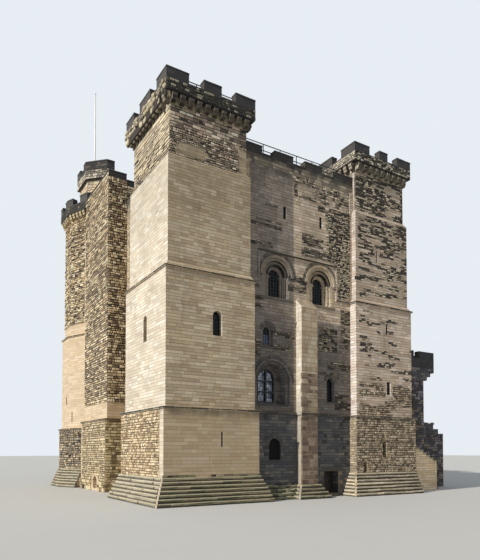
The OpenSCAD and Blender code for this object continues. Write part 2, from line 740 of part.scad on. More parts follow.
// Shares of the light's height at which its two transoms lie
transoms = [0.32, 0.64];
module great_window() color(ashlar_pale) at_keep() translate([0, great_light_y, 0]) intersection() {
    arch_y(great_x, 0, mullion_t, great_sill_z, great_w, great_h);
    union() {
        difference() {
            block([great_x - great_w / 2, 0, great_sill_z], [great_x + great_w / 2, mullion_t, great_top_z]);
            arch_y(great_x, -1, mullion_t + 1, great_sill_z + mullion_w, great_w - 2 * mullion_w,
                great_h - 2 * mullion_w);
        }
        block([great_x - mullion_w / 2, 0, great_sill_z], [great_x + mullion_w / 2, mullion_t, great_top_z]);
        for (share = transoms)
            block([great_x - great_w / 2, 0, great_sill_z + share * great_h - mullion_w / 2],
                  [great_x + great_w / 2, mullion_t, great_sill_z + share * great_h + mullion_w / 2]);
    }
}

// Hall window: moulded orders that step in, with shafts in the jambs and a hood mould
hall_opening_r = hall_arch_r - orders * order_w;
hall_light_y = wall_recess + orders * order_t;
hall_jamb_h = hall_spring_z - hall_sill_z;
impost_out = 60;
module hall_outline(r, sill) {
    translate([-r, sill]) square([2 * r, hall_spring_z - sill]);
    translate([0, hall_spring_z]) circle(r = r, $fn = round_fn);
}
module hall_order(x, y, r_out, r_in) translate([x, y + order_t, 0]) rotate([90, 0, 0])
    linear_extrude(order_t) difference() {
        hall_outline(r_out, hall_sill_z);
        hall_outline(r_in, hall_sill_z - 1);
    }
module hall_window_cut(x) {
    translate([x, hall_light_y, 0]) rotate([90, 0, 0]) linear_extrude(hall_light_y - wall_recess + 1)
        hall_outline(hall_arch_r, hall_sill_z);
    arch_y(x, hall_light_y - 1, room_south + 1, hall_sill_z - 4 * sill_drop,
        2 * hall_opening_r + embrasure_more_h, hall_jamb_h + hall_opening_r + 6 * sill_drop);
}
module hall_window(x) {
    hood(x, wall_recess, hall_spring_z, hall_arch_r - hood_out, hall_arch_r + hood_w);
    for (k = [0 : orders - 1]) {
        r_in = hall_arch_r - (k + 1) * order_w;
        y = wall_recess + k * order_t;
        hall_order(x, y, hall_arch_r, r_in);
        for (side = [-1, 1]) {
            if (k < orders - 1)
                translate([x + side * (r_in - shaft_r / 2), y + order_t - shaft_r / 2, hall_sill_z])
                cylinder(h = hall_jamb_h, r = shaft_r, $fn = 24);
            edge = x + side * (r_in - impost_out);
            reach = x + side * hall_arch_r;
            block([min(edge, reach), y - (k == 0 ? 0 : 40), hall_spring_z - impost_h],
                  [max(edge, reach), y + order_t, hall_spring_z]);
        }
    }
}
module hall_window_west() color(ashlar_pale) at_keep() hall_window(hall_window_x1);
module hall_window_east() color(ashlar_pale) at_keep() hall_window(hall_window_x2);

// Dark panes, each against the back of its window
pane_t = 30;
module window_glass() color(glass_dark) at_keep() {
    arch_y(great_x, great_light_y + mullion_t, great_light_y + mullion_t + pane_t,
        great_sill_z, great_w, great_h);
    for (x = [hall_window_x1, hall_window_x2])
        arch_y(x, hall_light_y, hall_light_y + pane_t, hall_sill_z, 2 * hall_opening_r + 40,
            hall_jamb_h + hall_opening_r + 20);
}

// Parapets of the main walls
module wall_parapet_x(x0, x1, y) {
    z = walk_z + wall_band_h;
    difference() {
        block([x0, y, walk_z], [x1, y + parapet_t, z + wall_merlon_h]);
        for (x = [x0 + first_merlon : wall_crenel_pitch : x1 - crenel_w])
            block([x, y - 1, z], [x + crenel_w, y + parapet_t + 1, z + wall_merlon_h + 1]);
    }
}
module wall_parapet_y(x, y0, y1) {
    z = walk_z + wall_band_h;
    difference() {
        block([x, y0, walk_z], [x + parapet_t, y1, z + wall_merlon_h]);
        for (y = [y0 + first_merlon : wall_crenel_pitch : y1 - crenel_w])
            block([x - 1, y, z], [x + parapet_t + 1, y + crenel_w, z + wall_merlon_h + 1]);
    }
}
south_parapet_y = wall_recess + wall_setback;
module south_parapet() color(soot) at_keep()
    wall_parapet_x(room_x0 - top_setback, room_x1 + top_setback, south_parapet_y);
module north_parapet() color(soot) at_keep()
    wall_parapet_x(room_x0, room_x1 + top_setback, north_face - parapet_t);
module east_parapet() color(soot) at_keep()
    wall_parapet_y(east_face - parapet_t, south_tower_d - top_setback, room_north + top_setback);

// West wall and its middle block
west_window_y = (south_tower_d + block_south) / 2;
wall_light_z = 6100;
wall_light_w = 700;
wall_light_h = 1640;
hall_light_w = 900;
hall_light_h = 2000;
module west_wall() color(rubble) at_keep() difference() {
    union() {
        block([west_recess, south_tower_d, 0], [room_x0, block_south, walk_z]);
        block([west_recess - string_out, south_tower_d + past_tower, base_top_z],
              [west_recess, block_south - past_tower, base_top_z + string_h]);
        block([west_recess - string_out, south_tower_d + string_out, string_z - string_h],
              [west_recess, block_south, string_z]);
    }
    outer_x = west_recess - string_out - 1;
    arch_x(outer_x, room_x0 + 1, west_window_y, wall_light_z, wall_light_w, wall_light_h);
    arch_x(outer_x, room_x0 + 1, west_window_y, hall_sill_z, hall_light_w, hall_light_h);
}
drain_y = 13900;
drain_h = 900;
module west_block() color(rubble) at_keep() difference() {
    union() {
        block([block_recess, block_south, 0], [room_x0, room_north, walk_z]);
        block([block_recess - setback, block_south - setback, 0], [west_recess, room_north, base_top_z]);
        block([block_recess - past_tower, block_south - past_tower, base_top_z],
              [west_recess, room_north, base_top_z + string_h]);
    }
    arch_x(-1, block_recess + 800, drain_y, drain_h / 5, drain_w, drain_h);
}
// The poly tower's parapet stands out over its corbels on this side
block_parapet_end = room_north - (corbel_out - setback) - 20;
module west_parapet() color(soot) at_keep() {
    wall_parapet_y(west_recess, south_tower_d - top_setback, block_south);
    difference() {
        block([block_recess, block_south, walk_z], [room_x0, block_parapet_end, block_top_z]);
        block([block_recess + parapet_t, block_south + parapet_t, walk_z - 1],
              [room_x0 + 1, room_north + 1, block_top_z + 1]);
        for (x = [block_recess + corner_merlon, block_recess + corner_merlon + wall_crenel_pitch])
            block([x, block_south - 1, block_top_z - wall_merlon_h],
                  [x + crenel_w, block_south + parapet_t + 1, block_top_z + 1]);
    }
}

// North and east walls
module north_wall() color(ashlar) at_keep() difference() {
    union() {
        block([room_x0, room_north, 0], [room_x1, north_face, walk_z]);
        block([room_x0 + 2 * past_tower, north_face, string_z - string_h],
              [room_x1 - string_out, north_face + string_out, string_z]);
    }
    for (x = [hall_window_x1, hall_window_x2]) {
        arch_y(x, room_north - 1, north_face + string_out + 1, hall_sill_z, hall_light_w, hall_light_h);
        arch_y(x, room_north - 1, north_face + 1, wall_light_z, wall_light_w, wall_light_h);
        slot_y(x, room_north - 1, north_face + 1, upper_slit_z, upper_slit_w, upper_slit_h);
    }
}
hall_door_y = room_north - 1120;
hall_door_w = 1300;
hall_door_h = 2400;
hall_door_t = 80;
hall_door_reveal = 620;
east_window_ys = [south_tower_d + 2070, south_tower_d + 5470];
module east_wall() color(ashlar) at_keep() difference() {
    block([room_x1, south_tower_d, 0], [east_face, room_north, walk_z]);
    arch_x(room_x1 - 1, east_face + 1, hall_door_y, hall_floor_z, hall_door_w, hall_door_h);
    for (y = east_window_ys) {
        arch_x(room_x1 - 1, east_face + 1, y, hall_sill_z, hall_light_w, hall_light_h);
        slot_x(room_x1 - 1, east_face + 1, y, upper_slit_z, upper_slit_w, upper_slit_h);
    }
}
module hall_door() color(timber) at_keep()
    arch_x(east_face - hall_door_reveal - hall_door_t, east_face - hall_door_reveal, hall_door_y,
        hall_floor_z, hall_door_w, hall_door_h);

// Flag turret and pole
turret_y = keep_d - turret_back;
turret_ring = 200;
turret_wall = 400;
turret_lip = 300;
turret_gap = 1000;
turret_near_merlon = 650;
turret_crown_z = turret_corbel_z + corbel_h;
turret_top_z = turret_crown_z + turret_parapet_h;
// The turret's plan grown outwards all round, with the same slope at its cut corner
function turret_plan(grow) = let (
    x0 = turret_x - grow, x1 = turret_x + turret_w + grow,
    y0 = turret_y - grow, y1 = turret_y + turret_length + grow,
    cut = turret_cut + round(grow * (2 - sqrt(2)))
) [[x0, y0 + cut], [x0 + cut, y0], [x1, y0], [x1, y1], [x0, y1]];
module turret_stage(grow, z0, z1)
    translate([0, 0, z0]) linear_extrude(z1 - z0) polygon(turret_plan(grow));
module flag_turret() color(ashlar) at_keep() difference() {
    union() {
        turret_stage(0, poly_parapet_z, turret_crown_z);
        turret_stage(turret_ring / 2, turret_corbel_z, turret_crown_z);
        turret_stage(turret_ring, turret_corbel_z + corbel_h / 2, turret_crown_z);
    }
    block([turret_x + turret_wall, turret_y + turret_cut, poly_parapet_z - 1],
          [turret_x + turret_w - turret_wall, turret_y + turret_length - turret_wall, turret_corbel_z]);
}
turret_gap_y = turret_plan(turret_ring)[0][1] + turret_near_merlon;
module flag_turret_parapet() color(soot) at_keep() difference() {
    turret_stage(turret_ring, turret_crown_z + bed, turret_top_z);
    turret_stage(turret_ring - turret_lip, turret_crown_z, turret_top_z + 1);
    block([0, turret_gap_y, turret_top_z - wall_merlon_h],
          [room_x0, turret_gap_y + turret_gap, turret_top_z + 1]);
}
module flagpole() color("white") at_keep()
    translate([turret_x + pole_in, turret_y + pole_back, turret_crown_z + bed])
    cylinder(h = pole_top_z - turret_crown_z - bed, r1 = pole_r, r2 = pole_r * 0.6, $fn = 24);

// Iron railings inside the south parapet and on top of the south-west tower
module rail_run(length, top) {
    for (z = [top : -rail_pitch : top - 2 * rail_pitch])
        translate([0, 0, z - rail_t]) cube([length, rail_t, rail_t]);
    posts = ceil((length - rail_t) / post_pitch);
    for (k = [0 : posts])
        translate([k * (length - rail_t) / posts, 0, 0]) cube([rail_t, rail_t, top]);
}
rail_gap = 100;
module railings() color(iron) at_keep() {
    translate([room_x0 + rail_gap, south_parapet_y + parapet_t + rail_gap, walk_z])
        rail_run(room_w - 2 * rail_gap, rail_top);
    a = parapet_in + parapet_t + rail_gap;
    span_x = west_tower_w - 2 * a;
    span_y = south_tower_d - 2 * a;
    translate([a, a, parapet_z]) {
        rail_run(span_x, tower_band_h + merlon_h);
        translate([0, span_y - rail_t, 0]) rail_run(span_x, tower_band_h + merlon_h);
        translate([rail_t, 0, 0]) rotate([0, 0, 90]) rail_run(span_y, tower_band_h + merlon_h);
    }
}

// Ground door. Its leaf opens inwards on two strap hinges at the west jamb.
leaf_y = base_recess + door_reveal;
leaf_inner_y = leaf_y + leaf_t;
strap_t = 12;
strap_h = 60;
eye_r = 2 * pin_r;
hinge_x = door_x0 + leaf_gap;
hinge_y = leaf_inner_y + eye_r;
hinge_heights = [for (share = [0.2, 0.8]) ground_floor_z + share * door_h];
module door_frame() color(timber) at_keep() difference() {
    block([door_x0, leaf_y - frame_w, ground_floor_z], [door_x1, leaf_y - leaf_gap, door_top_z]);
    block([door_x0 + frame_w, leaf_y - frame_w - 1, ground_floor_z - 1],
          [door_x1 - frame_w, leaf_y, door_top_z - frame_w]);
}
module door_leaf() color(timber) at_keep()
    block([hinge_x, leaf_y, ground_floor_z + leaf_gap],
          [door_x1 - leaf_gap, leaf_inner_y, door_top_z - leaf_gap]);
module door_hinges() color(iron) at_keep() for (z = hinge_heights) difference() {
    union() {
        block([hinge_x, leaf_inner_y, z - strap_h / 2],
              [hinge_x + strap_l, leaf_inner_y + strap_t, z + strap_h / 2]);
        translate([hinge_x, hinge_y, z - strap_h / 2]) cylinder(h = strap_h, r = eye_r, $fn = small_fn);
    }
    translate([hinge_x, hinge_y, z - strap_h / 2 - 1])
        cylinder(h = strap_h + 2, r = pin_r + pin_gap, $fn = small_fn);
}
// Each eye stands on the shoulder of its pintle
module door_pintles() color(iron) at_keep() for (z = hinge_heights) {
    shoulder_z = z - strap_h / 2 - bed;
    translate([hinge_x, hinge_y, shoulder_z - 2 * eye_r])
        cylinder(h = 2 * eye_r + strap_h + pin_r, r = pin_r, $fn = small_fn);
    block([door_x0, hinge_y - pin_r, shoulder_z - 2 * eye_r], [hinge_x + pin_r, hinge_y + pin_r, shoulder_z]);
}

// Outer stair and its forebuilding along the east side. A short flight climbs west beside
// its flank wall, and the main flight climbs north through the gate turret to the hall door.
gate_x0 = keep_w + past_tower;
stair_side = 590;
stair_x0 = gate_x0 + stair_side;
stair_x1 = stair_x0 + stair_w;
fore_x = keep_w + fore_reach;
fore_inner_x = fore_x - fore_wall_t;
stair_end_y = room_north - past_tower;
flight_steps = round((hall_floor_z - landing_z) / step_rise);
flight_rise = (hall_floor_z - landing_z) / flight_steps;
flight_run = (stair_end_y - top_landing - gate_y) / flight_steps;
// The main flight is narrow beside the tower and as wide as the forebuilding behind it
narrow_steps = ceil((south_tower_d + past_tower - gate_y) / flight_run);
low_steps = round(landing_z / step_rise) - 1;
flank_y0 = 1200;
flank_t = 450;
low_y = flank_y0 + flank_t;
turn_x = stair_x0 + 950;
step_joint = 3;
flank_rail_h = 800;
flank_l = 2300;
flank_end_z = 2060;
// A slab of the main flight's core, between two of its steps
module flight_core(x0, x1, k0, k1) translate([x0, gate_y, 0]) rotate([90, 0, 90]) linear_extrude(x1 - x0)
    polygon([[k0 * flight_run, 0], [k1 * flight_run, 0],
             [k1 * flight_run, landing_z + k1 * flight_rise],
             [k0 * flight_run, landing_z + k0 * flight_rise]]);
module outer_stair() color(slab_stone) at_keep() {
    block([stair_x0, low_y, 0], [turn_x, gate_y, landing_z]);
    translate([turn_x, gate_y, 0]) rotate([90, 0, 0]) linear_extrude(gate_y - low_y)
        polygon([[0, 0], [low_steps * step_run, 0], [0, landing_z - step_rise]]);
    flight_core(stair_x0, stair_x1, 0, narrow_steps);
    flight_core(east_face, fore_inner_x, narrow_steps, flight_steps);
    block([east_face, gate_y + flight_steps * flight_run, 0], [fore_inner_x, stair_end_y, hall_floor_z]);
}
// Stone steps with a triangular section, each bedded on the slope below it
module stair_steps() color(slab_stone) at_keep() {
    low_tread = step_run - step_joint;
    for (k = [0 : low_steps - 1])
        translate([turn_x + k * step_run + step_joint, gate_y, landing_z - (k + 2) * step_rise + bed])
            rotate([90, 0, 0]) linear_extrude(gate_y - low_y)
            polygon([[low_tread, 0], [low_tread, step_rise], [0, step_rise],
                     [0, step_rise * low_tread / step_run]]);
    tread = flight_run - step_joint;
    for (k = [0 : flight_steps - 1]) {
        x0 = k < narrow_steps ? stair_x0 : east_face;
        x1 = k < narrow_steps ? stair_x1 : fore_inner_x;
        translate([x0, gate_y + k * flight_run, landing_z + k * flight_rise + bed]) rotate([90, 0, 90])
            linear_extrude(x1 - x0)
            polygon([[0, 0], [tread, flight_rise * tread / flight_run],
                     [tread, flight_rise], [0, flight_rise]]);
    }
}
module stair_flank_wall() color(ashlar) at_keep() {
    top_z = landing_z + flank_rail_h;
    translate([0, low_y, 0]) rotate([90, 0, 0]) linear_extrude(flank_t)
        polygon([[stair_x0, 0], [turn_x + flank_l, 0], [turn_x + flank_l, flank_end_z],
                 [turn_x, top_z], [stair_x0, top_z]]);
}
gate_corbels = 3;
gate_corbel_out = 430;
gate_corbel_step = 330;
gate_band_h = 780;
gate_crenel_w = 600;
gate_parapet_z = gate_corbel_z + gate_corbels * gate_corbel_step;
gate_top_z = gate_parapet_z + gate_band_h + merlon_h;
// Ruined wall that once ran on from the gate turret, broken off in steps
stub_steps = 3;
stub_w = 2350;
stub_d = 1100;
stub_top_z = 4300;
stub_step_w = 600;
stub_step_h = 450;
module gate_turret() color(rubble) at_keep() difference() {
    union() {
        block([gate_x0, gate_y, 0], [fore_x, gate_y + gate_d, gate_parapet_z]);
        for (k = [0 : gate_corbels - 1])
            block([gate_x0, gate_y, gate_corbel_z + k * gate_corbel_step],
                  [fore_x + (k + 1) * gate_corbel_out, gate_y + gate_d,
                   gate_corbel_z + (k + 1) * gate_corbel_step]);
        for (k = [0 : stub_steps - 1])
            block([fore_x, gate_y, 0],
                  [fore_x + stub_w - k * stub_step_w, gate_y + stub_d, stub_top_z + k * stub_step_h]);
    }
    arch_y((stair_x0 + stair_x1) / 2, gate_y - 1, gate_y + gate_d + 1, -1, stair_w, gate_arch_z + 1);
}
module gate_turret_parapet() color(soot) at_keep() {
    x1 = fore_x + gate_corbels * gate_corbel_out;
    y1 = gate_y + gate_d;
    crenel_z = gate_parapet_z + gate_band_h;
    difference() {
        block([gate_x0, gate_y, gate_parapet_z], [x1, y1, gate_top_z]);
        block([gate_x0 + parapet_t, gate_y + parapet_t, gate_parapet_z - 1],
              [x1 - parapet_t, y1 - parapet_t, gate_top_z + 1]);
        for (x = [x1 - 4 * gate_crenel_w, gate_x0 + 2 * gate_crenel_w])
            block([x, gate_y - 1, crenel_z], [x + gate_crenel_w, y1 + 1, gate_top_z + 1]);
        block([gate_x0 - 1, gate_y + (gate_d - gate_crenel_w) / 2, crenel_z],
              [x1 + 1, gate_y + (gate_d + gate_crenel_w) / 2, gate_top_z + 1]);
    }
}
// Its top climbs with the stair in three stages
fore_stages = 3;
fore_rail_h = 1000;
module forebuilding_wall() color(rubble) at_keep() {
    y0 = gate_y + gate_d;
    length = (stair_end_y - y0) / fore_stages;
    rise = (hall_floor_z + fore_rail_h - gate_arch_z) / (fore_stages - 1);
    for (k = [0 : fore_stages - 1])
        block([fore_inner_x, y0 + k * length, 0], [fore_x, stair_end_y, gate_arch_z + k * rise]);
}

ground_floor();
first_floor();
hall_floor();
roof();
tower_floors();
sw_tower_base();
sw_tower_shaft();
sw_tower_corbels();
sw_tower_parapet();
se_tower_base();
se_tower_shaft();
se_tower_corbels();
se_tower_parapet();
ne_tower_base();
ne_tower_shaft();
ne_tower_corbels();
ne_tower_parapet();
nw_tower_base();
nw_tower_shaft();
nw_tower_corbels();
nw_tower_parapet();
south_wall_base_west();
south_wall_base_east();
south_wall_over_door();
south_wall_lower();
south_wall_upper();
south_buttress();
south_parapet();
hall_window_west();
hall_window_east();
great_window();
window_glass();
west_wall();
west_block();
west_parapet();
north_wall();
north_parapet();
east_wall();
east_parapet();
flag_turret();
flag_turret_parapet();
flagpole();
railings();
door_frame();
door_leaf();
door_hinges();
door_pintles();
hall_door();
outer_stair();
stair_steps();
stair_flank_wall();
gate_turret();
gate_turret_parapet();
forebuilding_wall();
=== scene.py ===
"""Looks of a square stone castle keep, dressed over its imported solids.

Places are counted in metres from the outer south-west corner of the main block, with X east
along the south front, Y north and Z up; place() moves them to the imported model's frame.
"""
import logging
import math
import random
from dataclasses import dataclass
from enum import Enum
from functools import cache
from typing import Callable, Iterable, Mapping, Sequence, Union

import bmesh
import bpy
from mathutils import Matrix, Vector, noise


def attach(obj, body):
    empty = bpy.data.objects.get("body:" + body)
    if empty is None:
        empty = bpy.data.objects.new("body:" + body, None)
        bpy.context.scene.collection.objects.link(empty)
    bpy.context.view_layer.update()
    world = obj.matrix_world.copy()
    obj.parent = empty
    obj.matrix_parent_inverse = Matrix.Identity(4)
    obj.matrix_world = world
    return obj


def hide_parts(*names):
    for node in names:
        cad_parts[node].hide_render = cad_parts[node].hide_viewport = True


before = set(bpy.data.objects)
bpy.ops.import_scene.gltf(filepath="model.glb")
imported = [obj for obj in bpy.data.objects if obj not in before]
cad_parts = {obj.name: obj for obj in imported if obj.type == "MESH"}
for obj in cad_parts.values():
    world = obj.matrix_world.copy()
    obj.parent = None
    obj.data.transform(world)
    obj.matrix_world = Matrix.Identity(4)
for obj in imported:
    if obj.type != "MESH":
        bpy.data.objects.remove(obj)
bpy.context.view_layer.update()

LOG = logging.getLogger("keep")
WEAR_SEED = 7
KEEP_W, KEEP_D = 18.9, 23.25
CORNER = Vector((-KEEP_W / 2, -KEEP_D / 2, 0.0))
SRGB_SLOPE, SRGB_OFFSET, SRGB_SCALE, SRGB_POWER = 12.92, 0.055, 1.055, 2.4
SRGB_KNEE, LINEAR_KNEE = 0.04045, 0.0031308

Colour = tuple[float, float, float]
Point = tuple[float, float]
Hole = tuple[float, float, float, float]


def place(x: float, y: float, z: float) -> Vector:
    """Moves a point from corner coordinates to the model's frame."""
    return Vector((x, y, z)) + CORNER


def rgb(code: str) -> Colour:
    """Turns a six-digit colour code into linear red, green and blue.

    Args:
        code: The colour as six hexadecimal digits.

    Returns:
        The three linear shares.
    """
    shares = [int(code[i : i + 2], 16) / 255 for i in (0, 2, 4)]
    return tuple(
        s / SRGB_SLOPE if s <= SRGB_KNEE else ((s + SRGB_OFFSET) / SRGB_SCALE) ** SRGB_POWER for s in shares
    )


class Body(str, Enum):
    """The moving bodies that pieces ride on."""

    KEEP = "keep"
    DOOR = "door"


class Slot(str, Enum):
    """The record's material slots, named for each added piece."""

    ASHLAR = "ashlar"
    BASE = "base_stone"
    RUBBLE = "rubble_stone"
    SOOT = "sooted_stone"
    OAK = "oak"
    IRON = "iron"
    GLASS = "window_glass"
    LEAD = "roof_lead"
    PAINT = "white_paint"


# ---------------------------------------------------------------- shader writing
Value = Union["Flow", str, float, Sequence[float]]


def maths(operation: str) -> Callable[..., "Flow"]:
    """Writes one operation of a Flow: a Math node on it and on the other values."""

    def operate(flow: "Flow", *others: Value) -> "Flow":
        """Adds the node."""
        inputs = dict(enumerate((flow, *others)))
        return flow.graph.node("ShaderNodeMath", {"operation": operation}, inputs)

    return operate


class Flow:
    """A value, vector or colour on its way between shader nodes; > and < give 1 or 0."""

    __add__, __sub__, __mul__, __truediv__ = map(maths, ("ADD", "SUBTRACT", "MULTIPLY", "DIVIDE"))
    __gt__, __lt__, __abs__ = map(maths, ("GREATER_THAN", "LESS_THAN", "ABSOLUTE"))
    floor, low, high = map(maths, ("FLOOR", "MINIMUM", "MAXIMUM"))

    def __init__(self, graph: "Graph", socket: bpy.types.NodeSocket) -> None:
        """Wraps an output socket of a graph's node."""
        self.graph = graph
        self.socket = socket

    def pick(self, name: str) -> "Flow":
        """Another output of the same node."""
        return Flow(self.graph, self.socket.node.outputs[name])

    def __rsub__(self, other: Value) -> "Flow":
        """Difference from another value."""
        return self.graph.node("ShaderNodeMath", {"operation": "SUBTRACT"}, {0: other, 1: self})

    def step(self, start: float, end: float) -> "Flow":
        """Rises smoothly from 0 at start to 1 at end; start may be the greater."""
        low, high = sorted((start, end))
        first, last = (0.0, 1.0) if start < end else (1.0, 0.0)
        sockets = {"Value": self, "From Min": low, "From Max": high, "To Min": first, "To Max": last}
        return self.graph.node("ShaderNodeMapRange", {"interpolation_type": "SMOOTHSTEP"}, sockets)


class Graph:
    """The node tree of one material."""

    def __init__(self, name: str) -> None:
        """Starts a material with a bare Principled shader, and its object coordinates."""
        self.material = bpy.data.materials.new(name)
        self.material.use_nodes = True
        self.tree = self.material.node_tree
        self.tree.nodes.clear()
        output = self.tree.nodes.new("ShaderNodeOutputMaterial")
        self.shader = self.tree.nodes.new("ShaderNodeBsdfPrincipled")
        self.tree.links.new(self.shader.outputs["BSDF"], output.inputs["Surface"])
        self.where = self.node("ShaderNodeTexCoord", output="Object")

    def put(self, socket: bpy.types.NodeSocket, value: Value) -> None:
        """Links a flow to a socket, or sets the socket's own value; text is a colour code."""
        if isinstance(value, Flow):
            self.tree.links.new(value.socket, socket)
            return
        if isinstance(value, str):
            value = rgb(value)
        is_colour = socket.type == "RGBA" and not isinstance(value, (int, float))
        socket.default_value = (*value[:3], 1.0) if is_colour else value

    def node(
        self,
        kind: str,
        settings: Mapping[str, object] | None = None,
        inputs: Mapping[Union[int, str], Value] | None = None,
        output: Union[int, str] = 0,
    ) -> Flow:
        """Adds any node: its settings are made first, then its sockets.

        Args:
            kind: The node's type.
            settings: Its properties; "stops" gives a ramp's places and colours.
            inputs: Its sockets by number or name, each with a value or a flow.
            output: The output to return.

        Returns:
            The chosen output.
        """
        made = self.tree.nodes.new(kind)
        for key, value in (settings or {}).items():
            if key == "stops":
                ramp = made.color_ramp
                while len(ramp.elements) < len(value):
                    ramp.elements.new(1.0)
                for element, (spot, colour) in zip(ramp.elements, value):
                    element.position = spot
                    element.color = (*colour, 1.0)
            elif key == "interpolation":
                made.color_ramp.interpolation = value
            else:
                setattr(made, key, value)
        for key, value in (inputs or {}).items():
            self.put(made.inputs[key], value)
        return Flow(self, made.outputs[output])

    def vector(self, x: Value, y: Value, z: Value = 0.0) -> Flow:
        """A vector from its three parts."""
        return self.node("ShaderNodeCombineXYZ", {}, {0: x, 1: y, 2: z})

    def split(self, vector: Flow) -> tuple[Flow, Flow, Flow]:
        """The three parts of a vector."""
        first = self.node("ShaderNodeSeparateXYZ", {}, {0: vector})
        return first, first.pick("Y"), first.pick("Z")

    def noise(self, where: Value, scale: float, detail: float = 2.0, rough: float = 0.55) -> Flow:
        """Smooth noise between 0 and 1 at a place."""
        sockets = {"Vector": where, "Scale": scale, "Detail": detail, "Roughness": rough}
        return self.node("ShaderNodeTexNoise", {}, sockets)

    def dice(self, a: Value, b: Value, c: Value = 0.0) -> Flow:
        """A random number for each whole place."""
        sockets = {"Vector": self.vector(a, b, c)}
        return self.node("ShaderNodeTexWhiteNoise", {"noise_dimensions": "3D"}, sockets)

    def mix(self, share: Value, first: Value, second: Value, blend: str = "MIX") -> Flow:
        """Mixes two colours."""
        settings = {"data_type": "RGBA", "blend_type": blend, "clamp_factor": True}
        return self.node("ShaderNodeMix", settings, {0: share, 6: first, 7: second}, 2)

    def choose(self, share: Value, first: Value, second: Value) -> Flow:
        """Mixes two numbers."""
        return self.node("ShaderNodeMix", {"data_type": "FLOAT"}, {0: share, 2: first, 3: second})

    def shade(self, colour: Value, amount: Value) -> Flow:
        """Makes a colour lighter or darker by a factor."""
        return self.node("ShaderNodeVectorMath", {"operation": "SCALE"}, {0: colour, "Scale": amount})

    def ramp(self, share: Flow, codes: Sequence[str], interpolation: str = "LINEAR") -> Flow:
        """Runs through evenly spaced colours."""
        last = len(codes) if interpolation == "CONSTANT" else max(1, len(codes) - 1)
        stops = [(i / last, rgb(code)) for i, code in enumerate(codes)]
        return self.node("ShaderNodeValToRGB", {"stops": stops, "interpolation": interpolation}, {0: share})

    def bump(self, height: Flow, depth: float) -> Flow:
        """Turns a height between 0 and 1 into a normal, for that depth in metres."""
        return self.node("ShaderNodeBump", {}, {"Height": height, "Distance": depth, "Strength": 1.0})


# ---------------------------------------------------------------- finishes
@dataclass(frozen=True)
class Coursing:
    """How squared stones are laid, in metres."""

    rise: float = 0.26
    run: float = 0.72
    joint: float = 0.010
    wobble: float = 0.006
    uneven: float = 0.35
    upright: float = 1.7
    level: float = 0.3

    def lay(self, g: Graph, u: Flow, v: Flow) -> tuple[Flow, Flow, Flow]:
        """Writes the pattern.

        Args:
            g: The graph to write in.
            u: Place along the wall.
            v: Place up the wall.

        Returns:
            The distance to the nearest joint, a tone for each stone, and three random numbers.
        """
        wave = (g.noise(g.where, 2.4, 2.0) - 0.5) * (self.wobble * 4)
        level = (v + wave) / self.rise
        level = level + (g.noise(g.vector(0.0, 0.0, v), 1.3, 1.0) - 0.5) * (self.uneven * 4)
        row = level.floor()
        up = level - row
        of_row = g.dice(row, 7.0)
        along = (u + wave) / self.run * (of_row * 0.5 + 0.75) + of_row * 31.7
        column = along.floor()
        across = along - column
        of_cell = g.dice(column, row)
        cut = of_cell * 0.36 + 0.32
        parted = g.dice(column, row, 5.0) > 0.5
        beyond = (across > cut) * parted
        to_cut = abs(across - cut) + (1 - parted)
        side = across.low(1 - across).low(to_cut) * (self.run * self.upright)
        rim = (up.low(1 - up) * self.rise).low(side) / (g.noise(g.where, 1.1, 3.0) * 1.6 + 0.2)
        own = g.dice(column + beyond * 0.5, row, 11.0)
        tone = own * (1 - self.level) + of_row * self.level
        return rim, tone, own.pick("Color")


@dataclass(frozen=True)
class Coat:
    """A coat of soot, damp, moss or painted shade, in patches between two places along an axis."""

    colour: str
    start: float
    end: float
    strength: float
    axis: int = 2
    ragged: Point = (0.30, 0.62)


# Painted sunlight: west-facing sides are multiplied by this tint and mixed toward this pale colour.
WEST_SUN_TINT: Colour = (1.35, 1.56, 1.98)
WEST_SUN_COLOUR = "e2d7c4"
# Painted light: the pale colour that up-facing tops are mixed toward.
TOP_LIGHT_COLOUR = "b9b294"


@dataclass(frozen=True)
class Weather:
    """What age has done to a stone face, with painted shade and west sunlight; heights are in metres."""

    stain: float = 0.25
    streak: float = 0.2
    coats: tuple[Coat, ...] = ()
    # Mixes west-facing sides toward a pale colour: painted sunlight.
    west_sunlight: float = 0.0
    banding: float = 0.0
    # Multiplies west-facing sides by a pale tint: painted sunlight.
    pale: float = 0.0

    def wear(self, g: Graph, colour: Flow, east: Flow) -> Flow:
        """Adds stains, streaks and coats to a colour, and lightens what faces west as painted sunlight.

        Args:
            g: The graph to write in.
            colour: The clean stone.
            east: How far the surface faces east.

        Returns:
            The worn colour, with any painted shade and sunlight.
        """
        x, y, z = g.split(g.where)
        broad = g.noise(g.where, 0.55, 4.0, 0.6)
        colour = g.shade(colour, 1 - (0.62 - broad).high(0.0) * (self.stain * 3.0))
        run_down = g.noise(g.vector(x * 2.2, y * 2.2, z * 0.22), 1.0, 4.0, 0.65)
        colour = g.shade(colour, 1 - run_down.step(0.52, 0.78) * self.streak)
        if self.banding:
            band = g.noise(g.vector(x * 0.35, y * 0.35, z * 2.6), 1.0, 3.0, 0.6)
            colour = g.shade(colour, (band - 0.5) * self.banding + 1)
        patchy = g.noise(g.where, 2.1, 4.0, 0.7)
        for coat in self.coats:
            reach = (x, y, z)[coat.axis].step(coat.start, coat.end)
            colour = g.mix(reach * patchy.step(*coat.ragged) * coat.strength, colour, coat.colour)
        # Painted sunlight: the sides that face west, towards the sun, are made paler.
        sun_side = (0 - east).step(0.3, 0.9)
        if self.pale:
            colour = g.mix(sun_side * self.pale, colour, WEST_SUN_TINT, "MULTIPLY")
        if self.west_sunlight:
            colour = g.mix(sun_side * (patchy * 0.5 + 0.75) * self.west_sunlight, colour, WEST_SUN_COLOUR)
        return colour


